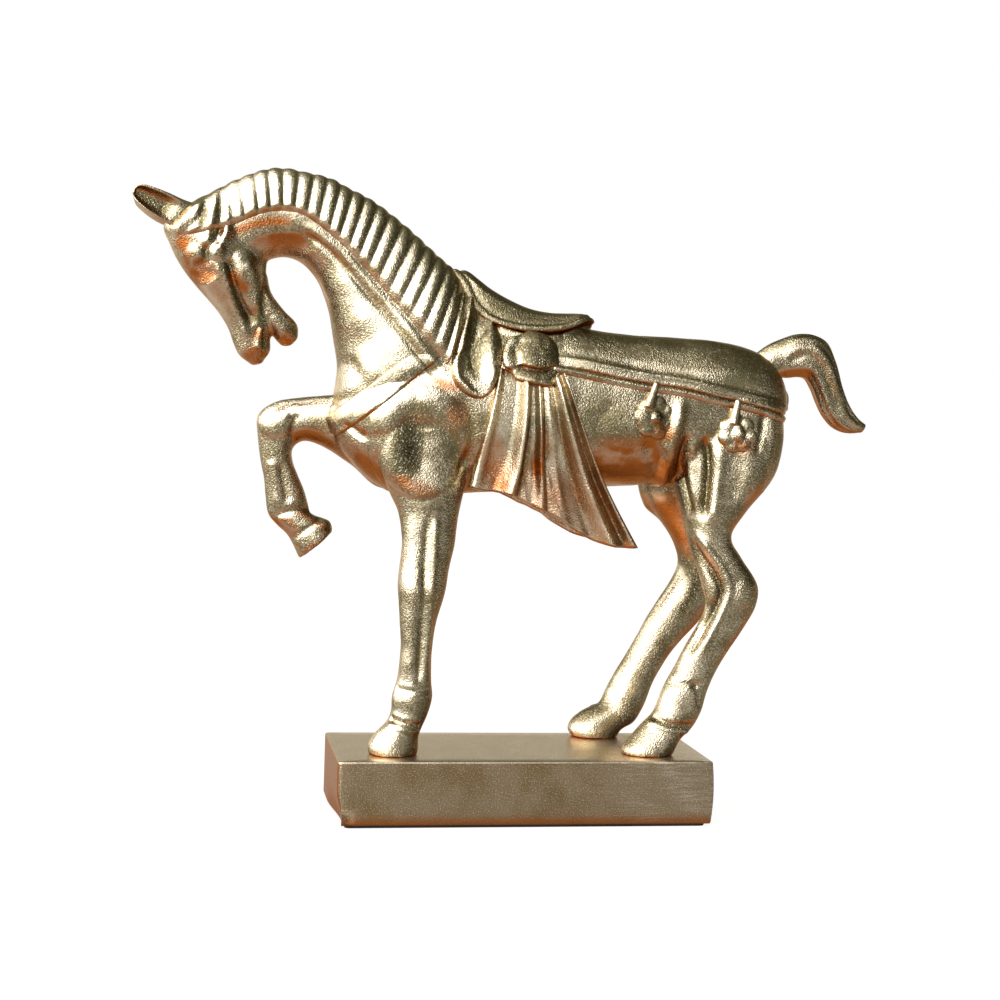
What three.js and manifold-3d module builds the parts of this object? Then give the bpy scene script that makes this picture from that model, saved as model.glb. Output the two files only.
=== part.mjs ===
// A cast metal horse ornament that stands on a solid block. Millimetres, +Z up.
// The horse faces -X and shows its near side to -Y. The origin is the centre of the underside.

import * as THREE from 'three';
import { mergeVertices } from 'three/addons/utils/BufferGeometryUtils.js';
import Module from 'manifold-3d';

const wasm = await Module();
wasm.setup();

// The block and what lies under it
const BLOCK_LENGTH = 142;
const BLOCK_WIDTH = 60;
const BLOCK_HEIGHT = 23.5;
const BLOCK_CORNER = 1.6;
const FELT_THICKNESS = 1;
const FELT_INSET = 1;

// The screws that come up through the block into the planted hooves
const SCREW_RADIUS = 2;
const SCREW_HEAD_RADIUS = 3.8;
const SCREW_HEAD_HEIGHT = 2.4;
const SCREW_GRIP = 9;

// Clearances, tenons and the places where the casting divides
const SEAT_GAP = 0.3;
const TENON_RADIUS = 4;
const TENON_DEPTH = 7;
const NECK_TENON_RADIUS = 7.2;
const TENON_ALONG = 14;
const HORSE_SHIFT = 5;
const FORELEG_CUT = 97;
const HIND_LEG_CUT = 101;
const RAISED_LEG_CUT = -63;

// Harness and hair
const MANE_RELIEF = 2.4;
const MANE_RIBS = 20;
const MANE_RIB_DEPTH = 1.2;
const CLOTH_THICKNESS = 1.3;
const CLOTH_TOP = 172;
const FLAP_THICKNESS = 2.2;
const STRAP_WIDTH = 6.7;
const STRAP_THICKNESS = 1.5;
const CORD_THICKNESS = 2.4;
const CORD_EDGE_SHARE = 0.25;
const DRAPE_THICKNESS = 2.4;
const DRAPE_PLEATS = 8;
const PLEAT_DEPTH = 1.3;
const PLEAT_TOP_SHARE = 0.4;
const HANGING_FROM = 104;
const BELLY_WIDEST = 120;
const BELLY_TUCK = 3;
const SADDLE_RIM = 1.6;
const SADDLE_FLOOR = 140;
const KNOT_LENGTH = 20.5;
const KNOT_HEIGHT = 16;
const KNOT_THICKNESS = 8;
const KNOT_SUNK = 2;
const PENDANT_PETALS = 6;
const PETAL_DEPTH = 0.2;
const PETAL_ROUNDNESS = 0.6;
const PENDANT_THICKNESS = 1.8;
const PENDANT_BOSS = 2.6;
const HANGER_WIDTH = 2.4;
const EYE_RADIUS = 2.5;
const EYE_SHOWING = 0.67;
const EAR_WALL = 1.1;
const EAR_BOWL_SHIFT = 1.7;
const EAR_TIP_SHARE = 0.3;

// Outlines of the horse, each row a section: the two edges in side view, as x and height above
// the soles twice, then the half width, and where it is off the middle plane, how far
const TORSO = [
  [-73.5, 121.5, -73.5, 129.5, 5],
  [-71, 114, -71, 135.5, 10.5],
  [-66, 107.5, -66, 143, 15.5],
  [-58, 100.5, -58, 150, 20],
  [-48, 95.5, -48, 155.5, 22.5],
  [-36, 95.5, -36, 159.5, 24],
  [-22, 97, -22, 162.5, 24.5],
  [-5, 98, -5, 163, 24.5],
  [12, 99, 12, 162.5, 24.5],
  [28, 100.5, 28, 159.6, 24.5],
  [42, 101.5, 42, 158.7, 24.5],
  [56, 103, 56, 158.4, 24.8],
  [70, 105, 70, 158, 24.5],
  [84, 110, 84, 156, 22.5],
  [93, 117, 93, 152.5, 18.5],
  [99, 125, 99, 146, 12.5],
  [101.8, 132, 101.8, 140.5, 6],
];
const NECK = [
  [-58, 106, 2, 152, 20],
  [-73.5, 131, -17, 166, 21],
  [-73, 137, -25, 174.5, 20],
  [-72.5, 144, -34, 181, 17.8],
  [-74.2, 153, -46, 190, 15.6],
  [-77, 166.5, -58, 199, 14],
  [-81.5, 176, -70, 206.5, 13],
  [-87.5, 181.8, -82, 211.5, 12.3],
  [-94, 183.3, -95, 213, 11.8],
  [-101, 181, -107, 211.5, 11.3],
  [-107, 177, -117, 206, 10.3],
];
const HEAD = [
  [-124, 203, -107, 198.5, 7.5],
  [-134, 199, -100.5, 190, 10.4],
  [-138, 193, -99.8, 182.5, 11.1],
  [-135.5, 186, -100, 176.5, 11.3],
  [-130, 176.5, -99.3, 171.5, 10.8],
  [-125, 170.5, -97, 166.5, 9.4],
  [-119.5, 164.5, -97, 161.8, 8],
  [-114, 157, -97.3, 157.5, 7],
  [-111.2, 150.3, -97.7, 153, 6.4],
  [-108.8, 146, -97.7, 148.3, 5.4],
  [-105.4, 143.5, -100, 144.6, 3],
];
const JAW = [
  [-112, 178, -99.5, 176, 9.2],
  [-108, 170, -97.8, 170, 8.3],
  [-104, 165, -93, 163.5, 7],
  [-101, 159.5, -88.8, 159.5, 5.8],
  [-97.3, 155, -87.4, 156.5, 5],
  [-96, 152.6, -87.6, 153.2, 4.2],
  [-94.4, 151.3, -89.2, 151.6, 2.6],
];
const NEAR_FORELEG = [
  [-60, 120, -20, 122, 13, -11],
  [-56.5, 106, -23, 106, 12, -13],
  [-52.5, 96.5, -25.5, 96.5, 10.5, -14.5],
  [-49.5, 90, -27, 89, 9.3, -15.5],
  [-48, 80.5, -28, 80.5, 8.4, -16.5],
  [-49, 67.5, -30.3, 68.5, 8, -17.5],
  [-49, 60, -31.5, 60.5, 8, -18],
  [-48.2, 49.5, -34.5, 49.5, 6.5, -18.5],
  [-47.5, 39.5, -35.7, 38.5, 6, -18.5],
  [-48.3, 28.5, -35.5, 27.5, 6.2, -18.5],
  [-50.2, 21.5, -35.2, 21.5, 7, -18.5],
  [-50.3, 16.5, -36.5, 15, 6.5, -18.5],
  [-51.5, 12.5, -38.5, 10.5, 7, -18.5],
  [-56, 7.5, -39.8, 6.5, 7.8, -18.5],
  [-58.7, 3, -39.8, 3, 8.2, -18.5],
  [-58.3, 0, -40.1, 0, 8.3, -18.5],
];
const RAISED_FORELEG = [
  [-46, 134, -42, 98, 11, 7],
  [-60, 134, -55, 98, 11, 9],
  [-72, 132.8, -65, 106, 10, 12],
  [-84, 131.3, -75, 112.3, 8.5, 14.5],
  [-94, 129.5, -83, 114.7, 8, 16],
  [-100.8, 124, -87.3, 111.5, 8, 17],
  [-100.7, 116.5, -87, 106.5, 7.5, 17],
  [-99.5, 107.5, -85, 101.5, 6.5, 17],
  [-98, 100.5, -82.5, 96, 6, 17],
  [-97, 92.5, -80.6, 90, 6, 17],
  [-95.8, 86, -79.5, 86.8, 6.2, 17],
  [-92.5, 82, -75.6, 85.3, 6.4, 17],
  [-88.2, 78, -72.3, 84, 7, 17],
  [-83.6, 69, -70.8, 80.3, 7.5, 17],
];
const NEAR_HIND_LEG = [
  [62, 138, 99, 134, 15, -9],
  [57.5, 118, 99.5, 121, 15, -10.5],
  [57.5, 104, 96, 107, 13.5, -12],
  [60.5, 91.5, 84.5, 93, 11, -14.5],
  [62.5, 82.5, 78.7, 84, 9, -16],
  [65, 73.5, 83, 75.5, 8, -17],
  [68, 64.5, 89.5, 65.5, 7.5, -18],
  [69.5, 57.5, 89, 57.5, 7, -18.5],
  [67, 50.5, 85, 49.5, 6.3, -18.5],
  [62.5, 42.5, 79, 40.5, 6, -18.5],
  [58, 33.5, 74.5, 32.5, 6, -18.5],
  [54, 25.5, 71.2, 24.5, 6.5, -18.5],
  [50, 15.5, 69, 16.5, 7, -18.5],
  [46, 11.5, 66, 10.8, 6.8, -18.5],
  [42, 6.5, 61.5, 6.5, 7.8, -18.5],
  [38.7, 2, 59.3, 2.5, 8.5, -18.5],
  [38.8, 0, 58.2, 0, 8.5, -18.5],
];
const FAR_HIND_LEG = [
  [60, 138, 99, 134, 15, 9],
  [54, 118, 98, 121, 15, 10.5],
  [51, 99, 93, 104, 13.5, 12.5],
  [60, 86.5, 86, 88, 11, 15],
  [66, 77.5, 83.5, 76, 9, 16],
  [68, 70.5, 84, 65, 8, 17],
  [65.5, 63.5, 84, 57, 7.2, 17.5],
  [60, 54.5, 78.5, 48, 6.5, 18],
  [54.5, 45, 70.5, 39, 6, 18.2],
  [49.5, 35, 64.5, 31, 6, 18.5],
  [45, 27.5, 60, 23, 6.2, 18.5],
  [41, 20, 57.5, 16.5, 6.8, 18.5],
  [37.5, 13.3, 55.5, 11.5, 6.8, 18.5],
  [31.5, 10.3, 52.3, 6, 7.3, 18.5],
  [26.5, 6, 48, 3.5, 8, 18.5],
  [25.3, 2.5, 46.3, 2, 8.4, 18.5],
  [27, 0, 45.3, 0, 8.3, 18.5],
];
const TAIL = [
  [88, 152, 94, 141, 4.5],
  [96, 158, 101, 145, 5.3],
  [101, 160.4, 104.5, 145.3, 5.8],
  [107, 162.4, 108.5, 145.8, 6.1],
  [114, 162.5, 112, 145, 6.1],
  [120, 159.5, 114.5, 141, 5.8],
  [124, 152, 117, 135.5, 5.3],
  [127, 142.5, 120.5, 129.7, 4.6],
  [131, 134.2, 125, 126, 3.8],
  [134.5, 130.3, 130, 124.5, 2.8],
  [137.3, 128.2, 135.5, 124.9, 1.5],
];
const EAR = [
  [-126, 201, -131, 190, 2.5, 7],
  [-131, 201.3, -136.5, 192.5, 3.2, 7],
  [-136, 203, -140.5, 195, 3.4, 7.2],
  [-141.5, 205.5, -144.5, 197.6, 3.2, 7.4],
  [-146, 207, -147.8, 200.5, 2.6, 7.6],
  [-148.3, 205.5, -149, 203, 1.4, 7.6],
];

// Crest and lower edge of the mane along its locks, as x and height twice
const MANE = [
  [-129, 202.3, -124.3, 190],
  [-119, 207.8, -115.4, 190.5],
  [-108, 213.6, -105, 196.4],
  [-98.5, 216.2, -96.7, 198.2],
  [-86, 215.4, -88.8, 197.6],
  [-75.5, 213.3, -80, 192.5],
  [-61.4, 207, -69.7, 183.8],
  [-50.3, 199, -61.4, 175],
  [-39.2, 190, -50.8, 163.6],
  [-30, 182.4, -41.2, 151.5],
  [-26.5, 174.5, -34, 144.5],
];

// Saddle along the back: x, height of the rim, height of the seat, half width
const SADDLE = [
  [-28.4, 178.5, 180.4, 2.6],
  [-26, 176.5, 181.3, 5],
  [-23.3, 170, 181.2, 8],
  [-19.8, 165.2, 179.4, 10.6],
  [-15, 161.8, 176, 12.4],
  [-8, 160, 172.1, 13.4],
  [0, 159.5, 168.5, 13.8],
  [8, 160, 167.2, 13.6],
  [14, 161.3, 167, 13],
  [19.2, 163.7, 167, 12],
  [23, 165, 166.4, 10],
  [25, 165, 165.4, 8],
];
const FLAP = [
  [-24, 166], [-29, 155], [-32, 145], [-30.5, 138.5], [-25.3, 134], [-20.5, 133.6],
  [-16, 139], [-13.8, 147], [-13.6, 156], [-17.5, 162.5],
];
const HEM = [
  [8, 146.2], [24, 143.6], [44, 140.7], [58, 138.8], [68, 136.9], [83, 134.2], [91, 132.4], [108, 129.8],
];
const DRAPE_TOP = [[-12.5, 143], [9.8, 143]];
const DRAPE_FOOT = [
  [-24, 100], [-14.3, 98.8], [-4.7, 95.9], [2.1, 92.5], [7.9, 90.5],
  [14.6, 86.2], [19.5, 83.3], [24.3, 80.9], [31, 79], [36.8, 78.5], [41.2, 79.9],
];
const KNOT_AT = [-1.5, 150.3];
const STRAP_AT = [-57, 140.8];
const STRAP_SLOPE = 40.3;
const STRAP_TOP = 151;
const THROAT_AT = [-99.5, 181];
const THROAT_SLOPE = 112.5;
const CHIN_REACH = 14;
const CHIN_DROP = 4;
const MOUTH_AT = [-97.5, 150.5];
const MOUTH_END = [-103.6, 158.3];
const MOUTH_OPENING = 1.4;
const EYE_AT = [-123.2, 177.8];
const PENDANTS = [
  { name: 'front', x: 44.6, z: 126.8, radius: 7.6 },
  { name: 'rear', x: 77, z: 122.4, radius: 6.8 },
];

// How far the cutting blocks and rays reach past the object
const REACH = 260;

// Power of the sections' ovals, where 2 is an ellipse, and the sides of a round pin
const SECTION_SQUARENESS = 2.2;
const PIN_SIDES = 16;

// Steps of the mane's and the saddle's arches, and of the pleats and petals
const SECTIONS_PER_RIB = 3;
const MANE_ARC_STEPS = 8;
const SADDLE_ARC_STEPS = 10;
const STEPS_PER_PLEAT = 4;
const STEPS_DOWN_DRAPE = 5;
const STEPS_PER_PETAL = 5;

// Turns a closed three.js geometry into a solid
function toSolid(geometry) {
  const bare = geometry.clone();
  bare.deleteAttribute('normal');
  bare.deleteAttribute('uv');
  const merged = mergeVertices(bare, 1e-4);
  const vertProperties = new Float32Array(merged.attributes.position.array);
  const triVerts = new Uint32Array(merged.index.array);
  return new wasm.Manifold(new wasm.Mesh({ numProp: 3, vertProperties, triVerts }));
}

// Turns a solid back into a three.js geometry
function toGeometry(solid) {
  const { vertProperties, triVerts } = solid.getMesh();
  const geometry = new THREE.BufferGeometry();
  geometry.setAttribute('position', new THREE.BufferAttribute(new Float32Array(vertProperties), 3));
  geometry.setIndex(new THREE.BufferAttribute(new Uint32Array(triVerts), 1));
  geometry.computeVertexNormals();
  return geometry;
}

function union(solids) {
  return solids.reduce((whole, solid) => whole.add(solid));
}

// Joins rings of equal length into a closed skin with a flat fan over each end
function skin(rings) {
  const sides = rings[0].length;
  const points = rings.flat();
  const faces = [];
  for (let r = 0; r + 1 < rings.length; r += 1) {
    for (let s = 0; s < sides; s += 1) {
      const a = r * sides + s;
      const b = r * sides + ((s + 1) % sides);
      faces.push(a, b, b + sides, a, b + sides, a + sides);
    }
  }
  for (const [first, turn] of [[0, false], [(rings.length - 1) * sides, true]]) {
    const hub = points.length;
    const middle = new THREE.Vector3();
    for (let s = 0; s < sides; s += 1) {
      middle.addScaledVector(points[first + s], 1 / sides);
    }
    points.push(middle);
    for (let s = 0; s < sides; s += 1) {
      const a = first + s;
      const b = first + ((s + 1) % sides);
      faces.push(...(turn ? [hub, a, b] : [hub, b, a]));
    }
  }
  return facingOut(points, faces);
}

// Makes the geometry, turned inside out where its volume would be negative
function facingOut(points, faces) {
  let volume = 0;
  for (let f = 0; f < faces.length; f += 3) {
    const [a, b, c] = [points[faces[f]], points[faces[f + 1]], points[faces[f + 2]]];
    volume += a.dot(new THREE.Vector3().crossVectors(b, c));
  }
  const order = volume < 0 ? faces.slice().reverse() : faces;
  const geometry = new THREE.BufferGeometry().setFromPoints(points);
  geometry.setIndex(order);
  return geometry;
}

// A tapering body through oval sections, all of it thicker by grow
function limb(rows, { sides, grow = 0 }) {
  const middles = rows.map(([x1, z1, x2, z2, , y = 0]) => (
    new THREE.Vector3((x1 + x2) / 2, y, (z1 + z2) / 2)
  ));
  const last = rows.length - 1;
  const rings = rows.map(([x1, z1, x2, z2, halfWidth], index) => {
    const across = new THREE.Vector3(x1 - x2, 0, z1 - z2);
    const halfLength = across.length() / 2 + grow;
    across.normalize();
    const centre = middles[index].clone();
    if (index === 0 || index === last) {
      const inner = middles[index === 0 ? 1 : last - 1];
      centre.addScaledVector(centre.clone().sub(inner).normalize(), grow);
    }
    return Array.from({ length: sides }, (_, s) => {
      const angle = (2 * Math.PI * s) / sides;
      const [along, wide] = [Math.cos(angle), Math.sin(angle)].map((value) => (
        Math.sign(value) * Math.abs(value) ** (2 / SECTION_SQUARENESS)
      ));
      const point = centre.clone().addScaledVector(across, halfLength * along);
      point.y += (halfWidth + grow) * wide;
      return point;
    });
  });
  return toSolid(skin(rings));
}

// All that lies on the side of a plane that its normal points to
function beyond(x, z, normalX, normalZ, shift = 0) {
  const normal = new THREE.Vector3(normalX, 0, normalZ).normalize();
  const block = new THREE.BoxGeometry(2 * REACH, 2 * REACH, 2 * REACH);
  block.translate(0, 0, REACH + shift);
  block.applyQuaternion(new THREE.Quaternion().setFromUnitVectors(new THREE.Vector3(0, 0, 1), normal));
  block.translate(x, 0, z);
  return toSolid(block);
}

// A straight round pin between two points
function pin(start, end, radius) {
  const length = start.distanceTo(end);
  const geometry = new THREE.CylinderGeometry(radius, radius, length, PIN_SIDES);
  const direction = end.clone().sub(start).normalize();
  geometry.applyQuaternion(new THREE.Quaternion().setFromUnitVectors(new THREE.Vector3(0, 1, 0), direction));
  geometry.translate(...start.clone().add(end).multiplyScalar(0.5).toArray());
  return toSolid(geometry);
}

// A plate with a side view outline, from one distance off the middle plane to another
function plate(outline, nearest, farthest) {
  const shape = new THREE.Shape(outline.map(([x, z]) => new THREE.Vector2(x, z)));
  const geometry = new THREE.ExtrudeGeometry(shape, { depth: farthest - nearest, bevelEnabled: false });
  geometry.rotateX(Math.PI / 2);
  geometry.translate(0, farthest, 0);
  return toSolid(geometry);
}

// The same plate on one side of the middle plane only, between two distances from it
function sidePlate(outline, side, nearest, farthest) {
  return side > 0 ? plate(outline, nearest, farthest) : plate(outline, -farthest, -nearest);
}

// The same solid on the other side of the middle plane
function mirrored(solid) {
  return solid.mirror([0, 1, 0]);
}

const TRUNK = [[TORSO, 24], [NECK, 20], [HEAD, 18], [JAW, 12]];
const LEGS = {
  near_foreleg: NEAR_FORELEG,
  raised_foreleg: RAISED_FORELEG,
  near_hind_leg: NEAR_HIND_LEG,
  far_hind_leg: FAR_HIND_LEG,
};

const trunkSkin = (grow) => union(TRUNK.map(([rows, sides]) => limb(rows, { sides, grow })));
const legSkin = (name, grow) => limb(LEGS[name], { sides: 14, grow });
const horseSkin = (grow) => union([trunkSkin(grow), ...Object.keys(LEGS).map((name) => legSkin(name, grow))]);

const bareHorse = horseSkin(0);
const clearOfHorse = horseSkin(SEAT_GAP);

// Distance from the middle plane to the horse's side at a point of the side view
const probe = new THREE.Mesh(toGeometry(bareHorse), new THREE.MeshBasicMaterial({ side: THREE.DoubleSide }));
function flank(x, z, side = -1) {
  const start = new THREE.Vector3(x, side * REACH, z);
  const [hit] = new THREE.Raycaster(start, new THREE.Vector3(0, -side, 0)).intersectObject(probe);
  return hit ? Math.abs(hit.point.y) : 0;
}

// Where each leg leaves the trunk: a point of the cut, and the way the leg goes from it
const LEG_CUTS = {
  near_foreleg: { x: -39, y: -14.3, z: FORELEG_CUT, way: [0, -1] },
  raised_foreleg: { x: RAISED_LEG_CUT, y: 10, z: 117, way: [-1, 0] },
  near_hind_leg: { x: 76, y: -12.6, z: HIND_LEG_CUT, way: [0, -1] },
  far_hind_leg: { x: 72, y: 13, z: HIND_LEG_CUT, way: [0, -1] },
};

function legPart(name, grow) {
  const { x, z, way } = LEG_CUTS[name];
  return legSkin(name, grow).intersect(beyond(x, z, ...way, SEAT_GAP / 2 - grow));
}

// The tenon on a leg's upper end, or with a clearance its socket
function legTenon(name, clearance) {
  const { x, y, z, way } = LEG_CUTS[name];
  const foot = new THREE.Vector3(x + way[0] * TENON_DEPTH, y, z + way[1] * TENON_DEPTH);
  const depth = TENON_DEPTH + clearance;
  const tip = new THREE.Vector3(x - way[0] * depth, y, z - way[1] * depth);
  return pin(foot, tip, TENON_RADIUS + clearance);
}

// Soles of the planted hooves and the screws into them
function soleCentre(name) {
  const [x1, , x2, , , y] = LEGS[name].at(-1);
  return [(x1 + x2) / 2, y];
}
const PLANTED = ['near_foreleg', 'near_hind_leg', 'far_hind_leg'];

function screwShank(name, clearance) {
  const [x, y] = soleCentre(name);
  const start = new THREE.Vector3(x, y, -BLOCK_HEIGHT);
  const end = new THREE.Vector3(x, y, SCREW_GRIP + clearance);
  return pin(start, end, SCREW_RADIUS + clearance);
}

function screwHead(name, clearance) {
  const [x, y] = soleCentre(name);
  const start = new THREE.Vector3(x, y, -BLOCK_HEIGHT);
  const end = new THREE.Vector3(x, y, SCREW_HEAD_HEIGHT + clearance - BLOCK_HEIGHT);
  return pin(start, end, SCREW_HEAD_RADIUS + clearance);
}

// The block, hollow only where the screws go through
function baseBlock() {
  const shape = new THREE.Shape();
  const [halfLength, halfWidth] = [BLOCK_LENGTH / 2, BLOCK_WIDTH / 2];
  const corners = [[1, -1, -90], [1, 1, 0], [-1, 1, 90], [-1, -1, 180]];
  for (const [sx, sy, from] of corners) {
    const centreX = sx * (halfLength - BLOCK_CORNER);
    const centreY = sy * (halfWidth - BLOCK_CORNER);
    const start = THREE.MathUtils.degToRad(from);
    shape.absarc(centreX, centreY, BLOCK_CORNER, start, start + Math.PI / 2, false);
  }
  const geometry = new THREE.ExtrudeGeometry(shape, {
    depth: BLOCK_HEIGHT,
    bevelEnabled: false,
    curveSegments: 4,
  });
  geometry.translate(0, -HORSE_SHIFT, -BLOCK_HEIGHT);
  const holes = PLANTED.flatMap((name) => [screwShank(name, SEAT_GAP), screwHead(name, SEAT_GAP)]);
  return holes.reduce((block, hole) => block.subtract(hole), toSolid(geometry));
}

function feltPad() {
  const length = BLOCK_LENGTH - 2 * FELT_INSET;
  const width = BLOCK_WIDTH - 2 * FELT_INSET;
  const geometry = new THREE.BoxGeometry(length, width, FELT_THICKNESS);
  geometry.translate(0, -HORSE_SHIFT, -BLOCK_HEIGHT - FELT_THICKNESS / 2);
  return toSolid(geometry);
}

// Unit vectors of a plane that is seen edge on in the side view
function planeAt([x, z], slope) {
  const angle = THREE.MathUtils.degToRad(slope);
  return { x, z, along: [Math.cos(angle), Math.sin(angle)], normal: [-Math.sin(angle), Math.cos(angle)] };
}
const strapPlane = planeAt(STRAP_AT, STRAP_SLOPE);
const throatPlane = planeAt(THROAT_AT, THROAT_SLOPE);

// The room of the chin, which reaches back past the throat's plane
const chinFront = beyond(THROAT_AT[0] + CHIN_REACH, 0, -1, 0);
const chinRoom = chinFront.intersect(beyond(0, THROAT_AT[1] - CHIN_DROP, 0, -1));

const past = (plane, shift) => beyond(plane.x, plane.z, ...plane.normal, shift);
const before = (plane, shift) => beyond(plane.x, plane.z, -plane.normal[0], -plane.normal[1], shift);

// A tenon across a plane, this far along it, reaching back from its front side
function planeTenon(plane, along, radius, clearance) {
  const x = plane.x + plane.along[0] * along;
  const z = plane.z + plane.along[1] * along;
  const [normalX, normalZ] = plane.normal;
  const point = (distance) => new THREE.Vector3(x + normalX * distance, 0, z + normalZ * distance);
  return pin(point(TENON_DEPTH), point(-TENON_DEPTH - clearance), radius + clearance);
}
const neckTenon = (clearance) => planeTenon(strapPlane, TENON_ALONG, NECK_TENON_RADIUS, clearance);
const headTenon = (clearance) => planeTenon(throatPlane, TENON_ALONG, TENON_RADIUS, clearance);

function tail(grow) {
  return limb(TAIL, { sides: 16, grow });
}

// One ear, a cup that opens away from the middle plane
function earCup(grow) {
  return limb(EAR, { sides: 14, grow });
}
function ear() {
  const bowl = EAR.slice(1).map(([x1, z1, x2, z2, halfWidth, y], index) => {
    const length = Math.hypot(x1 - x2, z1 - z2);
    const share = Math.max(EAR_WALL / length, index === EAR.length - 2 ? EAR_TIP_SHARE : 0);
    const inset = (a, b) => a + (b - a) * share;
    return [inset(x1, x2), inset(z1, z2), inset(x2, x1), inset(z2, z1), halfWidth, y + EAR_BOWL_SHIFT];
  });
  return earCup(0).subtract(limb(bowl, { sides: 12 }));
}

// The trunk without its legs and sockets, and its three castings
const trunk = Object.keys(LEGS).reduce(
  (rest, name) => rest.subtract(legPart(name, SEAT_GAP)),
  bareHorse,
);

function torso() {
  const legSockets = Object.keys(LEGS).map((name) => legTenon(name, SEAT_GAP));
  const sockets = [neckTenon(SEAT_GAP), tail(SEAT_GAP), ...legSockets];
  const body = trunk.intersect(before(strapPlane, SEAT_GAP / 2));
  return sockets.reduce((rest, socket) => rest.subtract(socket), body);
}

function neck() {
  const body = trunk.intersect(past(strapPlane, SEAT_GAP / 2)).intersect(before(throatPlane, SEAT_GAP / 2));
  return body.subtract(chinRoom).add(neckTenon(0)).subtract(headTenon(SEAT_GAP));
}

function mouth() {
  const [x1, z1] = MOUTH_AT;
  const [x2, z2] = MOUTH_END;
  const length = Math.hypot(x2 - x1, z2 - z1);
  const [sideX, sideZ] = [(-(z2 - z1) / length) * MOUTH_OPENING, ((x2 - x1) / length) * MOUTH_OPENING];
  return plate([[x1 + sideX, z1 + sideZ], [x1 - sideX, z1 - sideZ], [x2, z2]], -REACH, REACH);
}

function head() {
  const eyes = [-1, 1].map((side) => {
    const eye = new THREE.SphereGeometry(EYE_RADIUS, 12, 8);
    eye.translate(EYE_AT[0], side * (flank(...EYE_AT) - EYE_RADIUS * (1 - EYE_SHOWING)), EYE_AT[1]);
    return toSolid(eye);
  });
  const sockets = [mouth(), earCup(SEAT_GAP), mirrored(earCup(SEAT_GAP))];
  const body = trunk.intersect(past(throatPlane, SEAT_GAP / 2).add(chinRoom)).add(headTenon(0));
  return sockets.reduce((rest, socket) => rest.subtract(socket), union([body, ...eyes]));
}

function leg(name) {
  const body = legPart(name, 0).add(legTenon(name, 0));
  return PLANTED.includes(name) ? body.subtract(screwShank(name, SEAT_GAP)) : body;
}

// The ribbed arch of hair over the crest
function maneArch(grow) {
  const curve = (a, b) => new THREE.CatmullRomCurve3(
    MANE.map((row) => new THREE.Vector3(row[a], 0, row[b])),
    false,
    'centripetal',
  );
  const [crest, edge] = [curve(0, 1), curve(2, 3)];
  const count = MANE_RIBS * SECTIONS_PER_RIB;
  const rings = Array.from({ length: count + 1 }, (_, i) => {
    const top = crest.getPoint(i / count);
    const foot = edge.getPoint(i / count);
    const valley = ((1 + Math.cos((2 * Math.PI * i) / SECTIONS_PER_RIB)) / 2) * MANE_RIB_DEPTH;
    const up = top.clone().sub(foot);
    const height = up.length() - valley + grow;
    up.normalize();
    const halfWidth = flank(foot.x, foot.z) + MANE_RELIEF - valley + grow;
    foot.addScaledVector(up, -grow);
    return Array.from({ length: MANE_ARC_STEPS + 1 }, (_unused, k) => {
      const angle = (Math.PI * k) / MANE_ARC_STEPS;
      const point = foot.clone().addScaledVector(up, (height + grow) * Math.sin(angle));
      point.y = halfWidth * Math.cos(angle);
      return point;
    });
  });
  return toSolid(skin(rings));
}

function mane() {
  return maneArch(0).subtract(clearOfHorse).subtract(earCup(SEAT_GAP)).subtract(mirrored(earCup(SEAT_GAP)));
}

// The saddle with its raised pommel and cantle, down to the back that carries it
function saddleBody(grow) {
  const rings = SADDLE.map(([x, rim, seat, halfWidth], index) => {
    const end = index === 0 ? -grow : (index === SADDLE.length - 1 ? grow : 0);
    const wide = halfWidth + grow;
    const points = Array.from({ length: SADDLE_ARC_STEPS + 1 }, (_, k) => {
      const angle = (Math.PI * k) / SADDLE_ARC_STEPS;
      return [wide * Math.cos(angle), rim + (seat + grow - rim) * Math.sin(angle)];
    });
    const inner = wide - Math.min(SADDLE_RIM, wide / 2);
    const under = rim - SADDLE_RIM;
    points.push([-inner, under], [-inner, SADDLE_FLOOR], [inner, SADDLE_FLOOR], [inner, under]);
    return points.map(([y, z]) => new THREE.Vector3(x + end, y, z));
  });
  return toSolid(skin(rings));
}

function saddle() {
  return saddleBody(0).subtract(clearOfHorse).subtract(maneArch(SEAT_GAP));
}

// A layer that follows the horse's skin inside a cutting solid
function layer(cutter, thickness) {
  return horseSkin(SEAT_GAP + thickness).intersect(cutter).subtract(clearOfHorse);
}

function aboveHem() {
  const [front, rear] = [HEM[0][0], HEM.at(-1)[0]];
  return plate([...HEM, [rear, CLOTH_TOP], [front, CLOTH_TOP]], -REACH, REACH);
}

function rumpCloth() {
  const cloth = layer(aboveHem(), CLOTH_THICKNESS);
  const above = [saddleBody(SEAT_GAP), tail(SEAT_GAP), knotGrown(-1), knotGrown(1)];
  return above.reduce((rest, solid) => rest.subtract(solid), cloth);
}

function hemBand(side, from, to) {
  const upper = HEM.map(([x, z]) => [x, z - from]);
  const lower = HEM.map(([x, z]) => [x, z - to]).reverse();
  return sidePlate([...upper, ...lower], side, SEAT_GAP / 2, REACH);
}

// The raised cord under the hem, with a rounded edge
function hemCord(side) {
  const rounding = CORD_THICKNESS * CORD_EDGE_SHARE;
  const [upper, lower] = [SEAT_GAP, SEAT_GAP + CORD_THICKNESS];
  const inner = layer(hemBand(side, upper, lower), CORD_THICKNESS - rounding);
  const outer = layer(hemBand(side, upper + rounding, lower - rounding), CORD_THICKNESS);
  return inner.add(outer).subtract(tail(SEAT_GAP)).subtract(knotGrown(side));
}

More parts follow.
